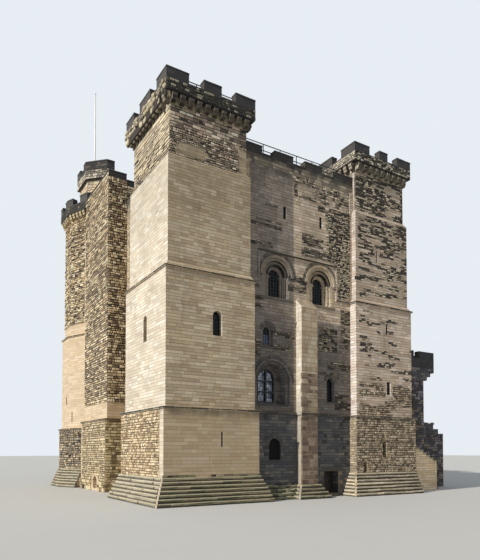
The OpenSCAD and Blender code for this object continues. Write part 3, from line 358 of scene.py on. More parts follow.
@dataclass(frozen=True)
class Finish:
    """A finish, written as a material when it is first asked for."""

    name: str

    def write(self, g: Graph) -> dict[str, Value]:
        """Writes the finish's nodes and returns the values of the shader's sockets."""
        raise NotImplementedError

    @cache
    def material(self) -> bpy.types.Material:
        """The finish's one material; socket names are written with _ for a space."""
        g = Graph(self.name)
        for name, value in self.write(g).items():
            g.put(g.shader.inputs[name.replace("_", " ").title().replace("Ior", "IOR")], value)
        return g.material


@dataclass(frozen=True)
class Stone(Finish):
    """A stone finish: laid in courses, or one tone for each loose stone where coursing is None."""

    palette: tuple[str, ...]
    coursing: Coursing | None = None
    weather: Weather = Weather()
    mortar: str = "6a6254"
    grain: float = 0.16
    relief: float = 0.012
    rough: float = 0.9
    # How far up-facing tops are lightened: painted light from above.
    top_light: float = 0.0

    def write(self, g: Graph) -> dict[str, Value]:
        """Writes the courses or the loose tones, then the grain, the wear and any painted light on the tops.
        """
        east, north, up = g.split(g.node("ShaderNodeNewGeometry", output="True Normal"))
        fine = g.noise(g.where, 24.0, 5.0, 0.7)
        middle = g.noise(g.where, 5.0, 3.0, 0.6)
        if self.coursing is None:
            tone = g.node("ShaderNodeNewGeometry", output="Random Per Island")
            colour = g.ramp(tone, self.palette, "CONSTANT")
            height = middle * 0.6 + fine * 0.4
        else:
            x, y, z = g.split(g.where)
            level = abs(up) > 0.7
            u = g.choose(level, y * east - x * north, x)
            v = g.choose(level, z, y)
            rim, tone, other = self.coursing.lay(g, u, v)
            colour = g.ramp(tone, self.palette, "CONSTANT")
            joint = rim.step(self.coursing.joint * 1.5, self.coursing.joint * 0.5)
            warm, _, dull = g.split(other)
            colour = g.shade(colour, dull * 0.16 + 0.92)
            colour = g.mix(joint * 0.85, colour, self.mortar)
            face = rim.step(0.0, self.coursing.joint * 2.5)
            height = face * 0.62 + warm * 0.14 + middle * 0.14 + fine * 0.1
        colour = g.shade(colour, fine * self.grain + middle * self.grain + (1 - self.grain))
        colour = self.weather.wear(g, colour, east)
        # Painted light: up-facing tops are mixed toward a pale colour.
        if self.top_light:
            colour = g.mix(up.step(0.35, 0.85) * (middle * 0.8 + 0.5) * self.top_light, colour, TOP_LIGHT_COLOUR)
        rough = self.rough - fine * 0.12
        return {"base_color": colour, "roughness": rough, "normal": g.bump(height, self.relief)}


@dataclass(frozen=True)
class Iron(Finish):
    """Old painted iron with rust showing through."""

    name: str = "old_iron"

    def write(self, g: Graph) -> dict[str, Value]:
        """Writes the mottled paint and the rust."""
        fine = g.noise(g.where, 60.0, 4.0, 0.7)
        rust = g.noise(g.where, 14.0, 4.0, 0.7).step(0.56, 0.72)
        colour = g.mix(rust * 0.7, g.mix(fine, "18181b", "2a2a2d"), "4a2f20")
        bump = g.bump(fine, 0.002)
        return {"base_color": colour, "roughness": rust * 0.35 + 0.45, "metallic": 0.35, "normal": bump}


@dataclass(frozen=True)
class Oak(Finish):
    """Dark weathered oak with its grain running up, and joints between boards along X."""

    name: str = "dark_oak"
    board: float = 0.17

    def write(self, g: Graph) -> dict[str, Value]:
        """Writes the fibres and the tone of each board."""
        x, y, z = g.split(g.where)
        tone = g.dice((x / self.board).floor(), 3.0)
        fibre = g.noise(g.vector(x * 60.0, y * 60.0, z * 2.5 + tone * 9.0), 1.0, 5.0, 0.65)
        band = g.noise(g.vector(x * 9.0, y * 9.0, z * 0.7 + tone * 5.0), 1.0, 3.0)
        colour = g.shade(g.ramp(fibre * 0.7 + tone * 0.3, ("1d1712", "33281f", "4a3b2d")), band * 0.5 + 0.7)
        return {"base_color": colour, "roughness": fibre * 0.2 + 0.62, "normal": g.bump(fibre, 0.004)}


@dataclass(frozen=True)
class Lead(Finish):
    """Dull grey lead, streaked by rain."""

    name: str = "sheet_lead"

    def write(self, g: Graph) -> dict[str, Value]:
        """Writes the clouded grey and the dents."""
        cloud = g.noise(g.where, 1.6, 5.0, 0.65)
        dents = g.bump(g.noise(g.where, 6.0, 3.0, 0.5), 0.01)
        colour = g.ramp(cloud, ("4f5458", "787e82", "9ba0a1"))
        return {"base_color": colour, "roughness": cloud * 0.3 + 0.35, "metallic": 0.55, "normal": dents}


@dataclass(frozen=True)
class Glass(Finish):
    """Old dark window glass in small leaded panes, each a little out of true."""

    name: str = "leaded_glass"
    panes: tuple[str, ...] = ("07080a", "0c0e11", "13161b", "2a3038")
    # The pale tones are a painted reflection of the sky.
    pale: tuple[str, ...] = ("4a5462", "8d98ab", "bcc4d2", "dde2ec")
    pale_below: float = 9.0
    pane: float = 0.13

    def write(self, g: Graph) -> dict[str, Value]:
        """Writes the panes' tones, pale below a height as a painted reflection of the sky, and dark above it.
        """
        x, y, z = g.split(g.where)
        tone = g.dice(((x + y) / self.pane).floor(), (z / (self.pane * 1.35)).floor())
        colour = g.mix(z < self.pale_below, g.ramp(tone, self.panes), g.ramp(tone, self.pale))
        bump, rough = g.bump(g.noise(g.where, 7.0, 2.0) + tone, 0.012), tone * 0.1 + 0.07
        return {"base_color": colour, "roughness": rough, "specular_ior_level": 0.15, "normal": bump}


@dataclass(frozen=True)
class Paint(Finish):
    """White gloss paint, greyed by weather."""

    name: str = "white_gloss_paint"

    def write(self, g: Graph) -> dict[str, Value]:
        """Writes the paint and the dirt that runs down it."""
        x, y, z = g.split(g.where)
        dirt = g.noise(g.vector(x * 8.0, y * 8.0, z * 0.8), 1.0, 4.0, 0.6).step(0.45, 0.8)
        colour = g.mix(dirt * 0.45, "e6e6e2", "a9a89f")
        return {"base_color": colour, "roughness": dirt * 0.3 + 0.3, "normal": g.bump(dirt, 0.001)}


@dataclass(frozen=True)
class Plain(Finish):
    """One colour with a faint mottle."""

    colour: str

    def write(self, g: Graph) -> dict[str, Value]:
        """Writes the mottled colour."""
        colour = g.shade(self.colour, g.noise(g.where, 0.4, 3.0) * 0.04 + 0.98)
        return {"base_color": colour, "roughness": 0.9, "specular_ior_level": 0.2}


def codes(text: str) -> tuple[str, ...]:
    """Splits a line of colour codes."""
    return tuple(text.split())


def toned(palette: Sequence[str], factor: float, blue: float = 1.0) -> tuple[str, ...]:
    """Makes every colour of a palette lighter or darker.

    Args:
        palette: The colour codes.
        factor: What their light is multiplied by.
        blue: What their blue is multiplied by as well.

    Returns:
        The new colour codes.
    """

    def coded(share: float) -> str:
        """One linear share as two hexadecimal digits."""
        curved = SRGB_SCALE * share ** (1 / SRGB_POWER) - SRGB_OFFSET
        return f"{round(255 * (curved if share > LINEAR_KNEE else SRGB_SLOPE * share)):02x}"

    made = []
    for code in palette:
        shares = zip(rgb(code), (1.0, 1.0, blue))
        made.append("".join(coded(min(1.0, share * factor * more)) for share, more in shares))
    return tuple(made)


def loose(
    name: str, palette: Sequence[str], stain: float = 0.2, streak: float = 0.15, west_sunlight: float = 0.0,
    banding: float = 0.0, coats: tuple[Coat, ...] = (), relief: float = 0.02, top_light: float = 0.0,
) -> Stone:
    """A finish of loose stones, with one tone of its palette for each stone.

    Args:
        name: The finish's name.
        palette: The colour codes.
        stain: How dark its broad stains are.
        streak: How dark its streaks are.
        west_sunlight: How far its west-facing sides are lightened, as painted sunlight.
        banding: How much its tone changes in level bands.
        coats: What grows on it, and any painted shade.
        relief: Depth of its grain in metres.
        top_light: How far the tops of the stones are lightened, as painted light from above.

    Returns:
        The finish.
    """
    age = Weather(stain, streak, coats, west_sunlight, banding)
    return Stone(name, tuple(palette), None, age, relief=relief, top_light=top_light)


FINE = Coursing(0.18, 0.85, 0.010, 0.004, 0.25, level=0.15)
BROAD = Coursing(0.20, 0.95, 0.007, 0.003, 0.15, level=0.2)
PIECED = Coursing(0.19, 0.60, 0.012, 0.010, 0.35, level=0.2)
SMALL = Coursing(0.16, 0.30, 0.020, 0.025, 0.45)
BRACKET = Coursing(0.6, 0.28, 0.006, 0.004, 0.1)

TAN = codes("a99579 bbaa8e c6b59a b6a488 af9b80 cbbca2 baa789 c1b093 b29f83")
CREAM = codes("c4ae8e cbb698 c1aa88 d2bfa3 c6ae8d cdb899")
GREY = codes("6f675c 8b8172 a0937f 7d7467 b09f86 948875 5c554c")
SLATE = codes("46464a 4f4f52 585755 484849 605e5b 525151 4c4b4c")
MIXED = codes("4b4338 84796a c4b69d 9a8c74 62574a d3c6ae 8f8371 ab9c84 3f382f")
PINK = codes("a08c7b c2ab96 77675a d8c5ae a99482 5d5147")
YELLOW = codes("a08e68 c2ae86 85734f d6c7a0 b29d73 6d5d42 cfbd93")
BROWN = codes("8a7658 ab9778 c9b48e 9a8566 d8c8a6 786650 b8a47f")
GREEN = codes("4b4b3b 57553f 424335 625f49 5d5a47 3b3d32")
BLACK = codes("2a2826 3d3936 33302e 524c46 2c2a28 625b53")
SPECKLED = codes("2b2b26 34332c 23231f 3a382f 2e2d28 9f9984 4a473b 282722")

# Partly damp, partly painted shade: darkens the lower south wall and its window stones below about 11 m.
DAMP_AND_SHADE = Coat("38373a", 11.4, 9.2, 0.40, ragged=(0.05, 0.45))
# Painted shadow: the south-west tower's cast shadow on the south wall, darkest to the west.
SHADED = Coat("3f4046", -0.46, -0.64, 0.60, 0, (-0.2, 0.3))
# Painted shadow: the buttress's cast shadow on the south wall east of it.
EAST_SHADED = Coat("3f4046", 0.60, 0.95, 0.45, 0, (-0.2, 0.3))
TOP_SOOT = Coat("2b2825", 18.6, 20.6, 0.62)
MOSS = Coat("474c33", 2.0, 0.3, 0.7, ragged=(0.40, 0.62))
TOP_BROWN = Coat("7a6c55", 13.4, 18.6, 0.40, ragged=(0.15, 0.60))
RIM_SOOT = Coat("232120", 20.45, 21.05, 0.92, ragged=(0.0, 0.4))
# Painted shadow: the band of the flag turret's wall just under its overhanging cap.
CAP_SHADOW = Coat("242220", 25.78, 25.88, 0.75, ragged=(0.0, 0.3))
STRING_MOSS = Coat("5c5a44", 4.3, 5.2, 0.5)
LOW_GRIME = Coat("76684f", 12.4, 13.2, 0.20, ragged=(0.0, 0.5))
BUTTRESS_DAMP = Coat("45372f", 6.2, 4.8, 0.60, ragged=(0.0, 0.5))
FOOT_DAMP = Coat("1d1c1d", 1.2, 0.3, 0.6)
WALL_MORTAR, ROUGH_MORTAR, GATE_MORTAR = "4f483d", "3a332a", "2a2622"

TOWER_ASHLAR = Stone(
    "tower_ashlar", toned(TAN, 1.08), FINE, Weather(0.22, 0.20, (TOP_BROWN,), 0.22, 0.2, 0.66), "5e523f",
    relief=0.010,
)
BASE_ASHLAR = Stone(
    "base_ashlar", toned(codes("b09c7f b5a284 ad987b b8a58a b29e80"), 1.13), BROAD,
    Weather(0.12, 0.12, (STRING_MOSS,), 0.0, 0.12, 0.8), relief=0.006,
)
SMOOTH_ASHLAR = Stone("smooth_ashlar", CREAM, BROAD, Weather(0.12, 0.10, (), 0.15, 0.12), relief=0.005)
UPPER_ASHLAR = Stone(
    "south_wall_upper_ashlar", toned(TAN, 1.28, 1.10), PIECED,
    Weather(0.32, 0.34, (SHADED, TOP_SOOT), 0.0, 0.25, 0.6), WALL_MORTAR,
)
LOWER_ASHLAR = Stone(
    "south_wall_lower_ashlar", toned(TAN[:6], 1.18, 1.14) + GREY[2:3], PIECED,
    Weather(0.32, 0.34, (SHADED, EAST_SHADED, DAMP_AND_SHADE), 0.0, 0.25, 0.6), WALL_MORTAR, relief=0.014,
)
WORN_ASHLAR = Stone(
    "worn_ashlar", toned(TAN, 1.30, 1.14), FINE, Weather(0.30, 0.28, (LOW_GRIME,), 0.0, 0.3, 0.5),
    WALL_MORTAR, relief=0.014,
)
BUTTRESS = Stone(
    "buttress_ashlar", toned(TAN, 0.95), Coursing(0.28, 0.55, 0.012, 0.008, 0.35, level=0.2),
    Weather(0.30, 0.25, (BUTTRESS_DAMP,), 0.30, 0.2, 1.0), "6b5d49", relief=0.014,
)
WALL_BASE = Stone(
    "wall_base_stone", toned(SLATE, 1.28) + codes("736d67 3f3d3c 857d73"), PIECED,
    Weather(0.30, 0.30, (FOOT_DAMP,), 0.0, 0.2), "29292c", relief=0.018,
)
ROUGH_WALL = Stone("rough_wall", BROWN, SMALL, Weather(0.35, 0.25, (), 0.2), ROUGH_MORTAR, relief=0.03)
FLAG_WALL = Stone(
    "flag_turret_wall", toned(BROWN, 1.65), SMALL, Weather(0.35, 0.25, (CAP_SHADOW,), 0.2), ROUGH_MORTAR,
    relief=0.03,
)
SOOTED = Stone("sooted_stone", BLACK, PIECED, Weather(0.30, 0.20), "1c1a18", relief=0.02)
GATE_STONE = Stone(
    "gate_turret_stone", codes("4a4a4d 5f5e60 54545a 77736f 474749 85807a"), PIECED, Weather(0.30, 0.20),
    GATE_MORTAR, relief=0.02,
)
MERLON = Stone(
    "sooted_ashlar", codes("2c2c2d 343335 302f30 3b3a3a"), BROAD, Weather(0.25, 0.15, (), 0.05), "1e1d1e",
    relief=0.01,
)
WALL_TOP = Stone(
    "wall_parapet_stone", toned(MIXED[:4] + GREY[:3], 0.8), PIECED, Weather(0.35, 0.3, (RIM_SOOT,), 0.1, 0.2),
    "2b2621", relief=0.02,
)
# The first two palettes are darkened as painted shade under the parapets; west sides get painted sunlight.
CORBEL, SE_CORBEL, NORTH_CORBEL = (
    Stone(name, palette, BRACKET, Weather(0.3, 0.3, (), west_sunlight), relief=0.02)
    for name, palette, west_sunlight in (
        ("dark_corbel_stone", toned(MIXED[:5], 0.26), 0.32),
        ("corbel_stone", toned(MIXED[:5], 0.38), 0.45),
        ("north_west_corbel_stone", YELLOW, 0.2),
    )
)
MOULDING = Stone(
    "moulded_stone", CREAM[:3] + TAN[1:5], Coursing(0.34, 0.42, 0.008, 0.004, 0.2),
    Weather(0.3, 0.3, (SHADED,), 0.0, 0.1, 0.6),
)
SLABS, STEPS = Coursing(0.6, 0.9, 0.01), Coursing(0.274, 1.4, 0.006)
PAVING = Stone("paving_slabs", codes("7d776d 8c867b 97907f 6f6a61"), SLABS, Weather(0.3, 0.0))
STEP_STONE = Stone("step_stone", codes("8b8475 9a9180 7a7366"), STEPS, Weather(0.3, 0.1))
FLANK_STONE = Stone("stair_flank_stone", toned(CREAM, 1.5), FINE, Weather(0.2, 0.15), relief=0.008)

BEDDING = loose("dark_bedding", codes("1f1a15 332c24"), 0.2, 0.1, relief=0.01)
WARM_BED = loose("brown_bedding", codes("5a4b36 6f5f45"), 0.2, 0.1, relief=0.01)
PALE_BED = loose("pale_bedding", codes("8d7f69 9c8d76"), 0.2, 0.1, relief=0.006)
# Partly dark bedding, partly painted shadow under each plinth nosing.
PLINTH_BED = loose("plinth_bed_stone", codes("2a2b23 37372b 23241e 403f34"), 0.3, 0.2, 0.1, relief=0.012)
SPECK_RUBBLE = loose("speckled_rubble", codes("2e2a25 cdbfa6 b5a68c 37322b d9ccb4 8d7f68 c4b69c"), 0.1, 0.1)
RUN_RUBBLE = loose(
    "decayed_run_rubble", codes("3b342c 544a3e d6c9b1 2f2a24 8a7b66 453d34 bfb098 cabca3"), 0.1, 0.1, 0.3
)
FOOT_YELLOW = loose(
    "south_west_foot_rubble", toned(codes("ab9673 d4be98 927c5b e0cfae c0a781 8c7763 d8c4a0"), 1.1),
    west_sunlight=0.15,
)
FOOT_RUBBLE = loose(
    "brown_small_rubble", codes("8a7860 ad9a7e c4af92 988670 716451 b2a18a d0c0a4"), west_sunlight=0.3
)
PATCH_RUBBLE = loose("decayed_patch_rubble", toned(MIXED, 0.72), west_sunlight=0.10, banding=0.2)
MIXED_RUBBLE = loose("mixed_rubble", MIXED, west_sunlight=0.45, banding=0.2)
TOP_RUBBLE = loose("tower_top_rubble", PINK + MIXED[1:4] + MIXED[5:8] + ("efe4d0",), 0.15, 0.15, 0.42, 0.2)
TOP_YELLOW = loose(
    "tower_top_yellow_rubble", codes("a8967a cdbd9c 8d7b60 c2b08c 75664c d8c9a8 b5a283"), 0.15, 0.15, 0.3, 0.2
)
YELLOW_RUBBLE = loose("yellow_rubble", toned(YELLOW, 1.05), west_sunlight=0.25)
BLOCK_RUBBLE = loose(
    "west_block_rubble", toned(BROWN, 1.14, 1.04) + codes("6a5b46 e4d6b4"), west_sunlight=0.06, banding=0.2
)
NORTH_RUBBLE = loose(
    "north_west_rubble", toned(BROWN, 1.18) + MIXED[5:6] + codes("5f523e e6d8b8"), west_sunlight=0.05, banding=0.2
)
NORTH_FOOT = loose(
    "north_west_foot_rubble", toned(BROWN[:5] + GREY[:3], 0.92), 0.25, 0.15, 0.1, coats=(MOSS,)
)
BUTTRESS_FOOT = loose(
    "buttress_foot_stone", toned(codes("8b7565 7a6657 9d8774 6d5a4c a8937f 85705f"), 0.78), 0.25, 0.2,
    relief=0.012,
)
FLAG_RUBBLE = loose("flag_turret_rubble", toned(YELLOW[:5] + PINK[:2], 1.35), 0.15, 0.15, 0.3)
DARK_RUBBLE = loose("dark_rubble", toned(BLACK, 2.6, 1.3) + MIXED[:2], 0.2, 0.2)
PLINTH_STONE = loose(
    "plinth_stone", toned(GREEN, 2.2) + codes("8f8a70 a69f84"), 0.30, 0.2, 0.35, coats=(MOSS,), top_light=1.0
)
SE_PLINTH = loose("south_east_plinth_stone", toned(GREY[:4], 2.6), 0.3, 0.2, 0.35, top_light=1.0)
STRING_STONE = loose("string_stone", codes("2b2b23 35352c 23231e 434132 504d3b"), 0.3, 0.2, relief=0.012)
COPING = loose("sooted_coping", codes("2f2e2f 383736 333231 403e3b"), 0.3, 0.2, 0.02, relief=0.01)
BAND_STONE = loose(
    "parapet_band_stone", codes("2b2b26 c9c2ae 34332c a39a83 23231f d8d0ba 5b564a"), 0.2, 0.2, 0.35,
    relief=0.012,
)
SPECKLED_STONE = loose("speckled_band_stone", SPECKLED, 0.2, 0.2, 0.1)
NORTH_BAND = loose("north_west_band_stone", SPECKLED[:5] + ("6b6554",), 0.2, 0.2)
LUMPS = loose(
    "weathered_lumps", codes("5c5344 a39679 c6b99c 80745e 4a4338 b3a587"), 0.3, 0.2, 0.25, relief=0.03
)
# Painted shade: near-black stone laid in the hall windows' moulded hollows and under their springing.
SHADE_STRIP = loose("painted_shade_strip", codes("1b1a19 262422 302d29"), 0.1, 0.1, relief=0.012)
WINDOW_STONE = loose(
    "window_arch_stone", toned(GREY[:5], 0.58) + TAN[:1], 0.35, 0.2, 0.2, coats=(SHADED, DAMP_AND_SHADE), relief=0.012
)
STEP_STONE_LOOSE = loose("loose_step_stone", codes("b3a687 a89a7c c2b497"), 0.3, 0.2, relief=0.012)

IRON, OAK, LEAD, GLASS, PAINT = Iron(), Oak(), Lead(), Glass(), Paint()
# Painted reflection: this glass's low panes are pale tones of the sky.
PALE_GLASS = Glass("pale_leaded_glass", pale=codes("1c2230 3a4560 56627f 7c8aa8"), pale_below=9.95)
DARK_GLASS = Glass("dark_leaded_glass", pale_below=-1.0)
FRAME_PAINT = Iron("dark_window_frame")
# Painted shade: a near-black board deep in each slit, where there is only the shade inside.
SLIT_SHADE_BOARD = Plain("slit_shade_board", "141312")
STUDIO_FLOOR = Plain("studio_floor", "c9c9c6")


# ---------------------------------------------------------------- stone cutting
@dataclass(frozen=True)
class Face:
    """An upright face, from its left end to its right end as seen from outside."""

    left: Point
    right: Point

    @property
    def length(self) -> float:
        """Length of the face."""
        return math.dist(self.left, self.right)

    def at(self, u: float = 0.0, v: float = 0.0, out: float = 0.0) -> Matrix:
        """Frame of a point of the face: X along it, Y into the wall and Z up.

        Args:
            u: Distance from its left end.
            v: Height.
            out: Distance in front of it.

        Returns:
            The matrix that moves a piece there.
        """
        run = Vector((self.right[0] - self.left[0], self.right[1] - self.left[1], 0.0)).normalized()
        inward = Vector((-run.y, run.x, 0.0))
        spot = place(*self.left, v) + run * u - inward * out
        turn = Matrix((run, inward, Vector((0.0, 0.0, 1.0)))).transposed().to_4x4()
        return Matrix.Translation(spot) @ turn

    def trimmed(self, start: float, end: float) -> "Face":
        """The part of the face between two distances from its left end."""
        share = [Vector(self.left).lerp(Vector(self.right), d / self.length) for d in (start, end)]
        return Face(tuple(share[0]), tuple(share[1]))


def around(middle: float, half: float) -> Point:
    """The ends of a stretch that reaches as far on both sides of its middle."""
    return middle - half, middle + half


def half_chord(radius: float, off: float) -> float:
    """Half the width of a circle at a distance from its centre; 0 outside it."""
    return math.sqrt(max(0.0, radius**2 - off**2))


def new_object(name: str, data: bpy.types.ID) -> bpy.types.Object:
    """Makes an object of some data and puts it in the scene."""
    made = bpy.data.objects.new(name, data)
    bpy.context.scene.collection.objects.link(made)
    return made


class Mason:
    """Gathers cut stones, bars and boards in one mesh."""

    WEDGE_START, WEDGE_SHARE = 0.04, 0.92

    def __init__(self, seed: int = 1) -> None:
        """Starts an empty mesh with its own run of random numbers."""
        self.bm = bmesh.new()
        self.rng = random.Random(seed)

    def block(self, frame_at: Matrix, size: Sequence[float], centre: Sequence[float] = (0, 0, 0)) -> list:
        """Adds a box.

        Args:
            frame_at: The frame that it stands in.
            size: Its three sides.
            centre: Its middle in that frame.

        Returns:
            Its corners.
        """
        matrix = frame_at @ Matrix.Translation(centre) @ Matrix.Diagonal((*size, 1.0))
        return bmesh.ops.create_cube(self.bm, size=1.0, matrix=matrix)["verts"]

    def slab(self, face: Face, u: Point, v: Point, out: float, back: float = 0.1) -> None:
        """Adds a box that stands out from a face.

        Args:
            face: The face.
            u: Where it starts and ends along the face.
            v: Where it starts and ends in height.
            out: How far it stands out.
            back: How far it goes into the wall.
        """
        size = (u[1] - u[0], out + back, v[1] - v[0])
        self.block(face.at((u[0] + u[1]) / 2, (v[0] + v[1]) / 2), size, (0.0, (back - out) / 2, 0.0))

    def course(
        self, face: Face, v: Point, out: float, run: float, joint: float, play: float, back: float
    ) -> None:
        """Lays one course of stones of uneven lengths along a whole face.

        Args:
            face: The face.
            v: Where it starts and ends in height.
            out: How far the stones stand out.
            run: Their usual length.
            joint: Width of the joints.
            play: How much the stones differ in reach and height.
            back: How far they go into the wall.
        """
        u, end = 0.0, face.length
        while u < end - 1e-6:
            length = run * self.rng.uniform(0.65, 1.4)
            if end - u - length < run * 0.4:
                length = end - u
            reach = out + self.rng.uniform(-play, play)
            drop = self.rng.uniform(0.0, play)
            span = (u + joint / 2, u + length - joint / 2)
            self.slab(face, span, (v[0] + joint / 2, v[1] - drop), reach, back)
            u += length

    def ring(
        self, face: Face, middle: Point, radii: Point, out: float, count: int, back: float = 0.08
    ) -> None:
        """Sets wedge-shaped stones round a half circle.

        Args:
            face: The face that the arch is in.
            middle: Its centre, along the face and in height.
            radii: Its inner and outer radius.
            out: How far the stones stand out.
            count: How many stones there are.
            back: How far the stones go into the wall.
        """
        frame_at, wedge = face.at(*middle), math.pi / count
        for k in range(count):
            reach = out + self.rng.uniform(-0.006, 0.006)
            for corner in self.block(Matrix.Identity(4), (1.0, 1.0, 1.0), (0.5, 0.5, 0.5)):
                s, d, t = corner.co
                angle = (k + self.WEDGE_START + self.WEDGE_SHARE * s) * wedge
                radius = radii[0] + t * (radii[1] - radii[0])
                across, up = math.cos(angle) * radius, math.sin(angle) * radius
                corner.co = frame_at @ Vector((across, -reach + d * (reach + back), up))

    def rod(self, start: Vector, end: Vector, radius: float, sides: int = 8) -> None:
        """Adds a round bar between two points."""
        run = end - start
        turn = run.to_track_quat("Z", "Y").to_matrix().to_4x4()
        bmesh.ops.create_cone(
            self.bm, cap_ends=True, segments=sides, radius1=radius, radius2=radius, depth=run.length,
            matrix=Matrix.Translation((start + end) / 2) @ turn,
        )

    def soften(self, width: float, segments: int = 1, level_over: float = 0.0) -> "Mason":
        """Rounds the edges that there are so far.

        Args:
            width: Width of the rounding.
            segments: How many facets it has.
            level_over: Where it isn't 0, only level edges longer than this are rounded.

        Returns:
            The mason.
        """
        edges = self.bm.edges[:]
        if level_over:
            level = [e for e in edges if abs(e.verts[0].co.z - e.verts[1].co.z) < 1e-4]
            edges = [e for e in level if e.calc_length() > level_over]
        bmesh.ops.bevel(
            self.bm, geom=edges, offset=width, offset_type="OFFSET", segments=segments,
            profile=0.5, affect="EDGES", clamp_overlap=True, material=-1,
        )
        return self

    def weather(self, size: float, amount: float) -> "Mason":
        """Moves every corner a little, as if worn."""
        for corner in self.bm.verts:
            corner.co += noise.noise_vector(corner.co / size) * amount
        return self

    def finish(
        self, name: str, finish: Finish, slot: Slot, body: Body = Body.KEEP, replaces: Iterable[str] = ()
    ) -> None:
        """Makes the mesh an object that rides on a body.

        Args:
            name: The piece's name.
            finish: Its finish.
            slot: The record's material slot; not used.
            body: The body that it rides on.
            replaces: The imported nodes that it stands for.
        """
        bmesh.ops.recalc_face_normals(self.bm, faces=self.bm.faces[:])
        mesh = bpy.data.meshes.new(name)
        self.bm.to_mesh(mesh)
        self.bm.free()
        piece = new_object(name, mesh)
        mesh.materials.append(finish.material())
        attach(piece, body.value)
        if replaces:
            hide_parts(*replaces)
        LOG.info("%s: %d faces", name, len(mesh.polygons))


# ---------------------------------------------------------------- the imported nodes
NODE_FINISHES: Mapping[Finish, str] = {
    PAVING: "ground_floor first_floor hall_floor tower_floors",
    LEAD: "roof",
    BASE_ASHLAR: "sw_tower_base",
    TOWER_ASHLAR: "sw_tower_shaft",
    ROUGH_WALL: "se_tower_base ne_tower_base nw_tower_base west_wall forebuilding_wall",
    WORN_ASHLAR: "se_tower_shaft ne_tower_shaft north_wall east_wall",
    SMOOTH_ASHLAR: "nw_tower_shaft west_block",
    WALL_BASE: "south_wall_base_west south_wall_base_east south_wall_over_door",
    LOWER_ASHLAR: "south_wall_lower",
    UPPER_ASHLAR: "south_wall_upper",
    BUTTRESS: "south_buttress",
    MOULDING: "hall_window_west hall_window_east",
    FRAME_PAINT: "great_window",
    GLASS: "window_glass",
    FLAG_WALL: "flag_turret",
    SOOTED: "flag_turret_parapet",
    PAINT: "flagpole",
    IRON: "railings door_hinges door_pintles",
    OAK: "door_frame door_leaf hall_door",
    STEP_STONE: "outer_stair stair_steps",
    FLANK_STONE: "stair_flank_wall",
    GATE_STONE: "gate_turret",
    WALL_TOP: "south_parapet north_parapet east_parapet west_parapet",
    SE_CORBEL: "se_tower_corbels",
    NORTH_CORBEL: "nw_tower_corbels",
    CORBEL: "sw_tower_corbels ne_tower_corbels",
    MERLON: "sw_tower_parapet se_tower_parapet ne_tower_parapet nw_tower_parapet gate_turret_parapet",
}


def dress_nodes() -> None:
    """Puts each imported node's finish in its material slots."""
    finish_of = {node: finish for finish, nodes in NODE_FINISHES.items() for node in nodes.split()}
    for name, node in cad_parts.items():
        material = finish_of[name].material()
        for slot in node.material_slots:
            slot.material = material
        LOG.info("%s: %s", name, material.name)


# ---------------------------------------------------------------- plan of the keep
WEST_LINE, EAST_LINE, SOUTH_LINE, NORTH_LINE = 5.63, 13.61, 6.13, 17.62
WALL_Y, WALL_BASE_Y, NORTH_Y, EAST_X, WEST_X = 0.55, 0.45, 22.2, 18.35, 2.0
BLOCK_X, BLOCK_Y, WALK_Y, WALK_EAST = 0.61, 11.65, 0.62, 13.97
GATE_Y, GATE_EAST = 3.4, 24.25
BASE_TOP, STRING_TOP, WALK = 5.15, 12.85, 20.30
PARAPET, TOWER_TOP, SETBACK = 22.36, 23.60, 0.18
POLY_LIFT, POLY_OVER, BLOCK_TOP = 0.45, 0.39, 23.37
PLINTH_RISE, PLINTH_OUT, PLINTH_STEPS = 0.214, 0.09, 7
BUTTRESS_WEST, BUTTRESS_EAST, BUTTRESS_STEPS, BUTTRESS_OUT = 9.07, 10.32, 4, 0.15
STRING_OUT, STRING_RISE, LAP = 0.09, 0.11, 0.16
SOUTH_WALL = Face((WEST_LINE, WALL_Y), (EAST_LINE, WALL_Y))
SOUTH_BASE = Face((WEST_LINE, WALL_BASE_Y), (EAST_LINE, WALL_BASE_Y))
EAST_WALL = Face((EAST_X, SOUTH_LINE), (EAST_X, NORTH_LINE))
NORTH_WALL = Face((EAST_LINE, NORTH_Y), (WEST_LINE, NORTH_Y))
SE_FRONT = Face((EAST_LINE, 0.0), (KEEP_W, 0.0))
SE_BASE_FRONT = Face((EAST_LINE - SETBACK, -SETBACK), (KEEP_W + SETBACK, -SETBACK))
BUTTRESS_FRONT = Face((BUTTRESS_WEST, 0.0), (BUTTRESS_EAST, 0.0))
POLY_PLAN = (
    (WEST_LINE, NORTH_LINE), (0.806, NORTH_LINE), (-0.1, 19.83), (-0.1, 21.9), (1.35, 23.35),
    (3.42, 23.35), (WEST_LINE, 22.444),
)


def poly_faces(inset: float) -> list[Face]:
    """The five outer faces of the many-sided tower, set in from its lines by a distance.

    Args:
        inset: How far they are set in; less than 0 is out.

    Returns:
        The faces from the one beside the west block round to the one beside the north wall.
    """
    inner = POLY_PLAN[0]
    lines = []
    for a, b in zip(POLY_PLAN, (*POLY_PLAN[1:], inner)):
        run = (Vector(b) - Vector(a)).normalized()
        inward = Vector((run.y, -run.x)) * (0.0 if inner in (a, b) else inset)
        lines.append((Vector(a) + inward, run))
    corners = []
    for (p, d), (q, e) in zip(lines, lines[1:]):
        t = ((q.x - p.x) * e.y - (q.y - p.y) * e.x) / (d.x * e.y - d.y * e.x)
        corners.append(tuple(p + d * t))
    return [Face(b, a) for a, b in zip(corners, corners[1:])]


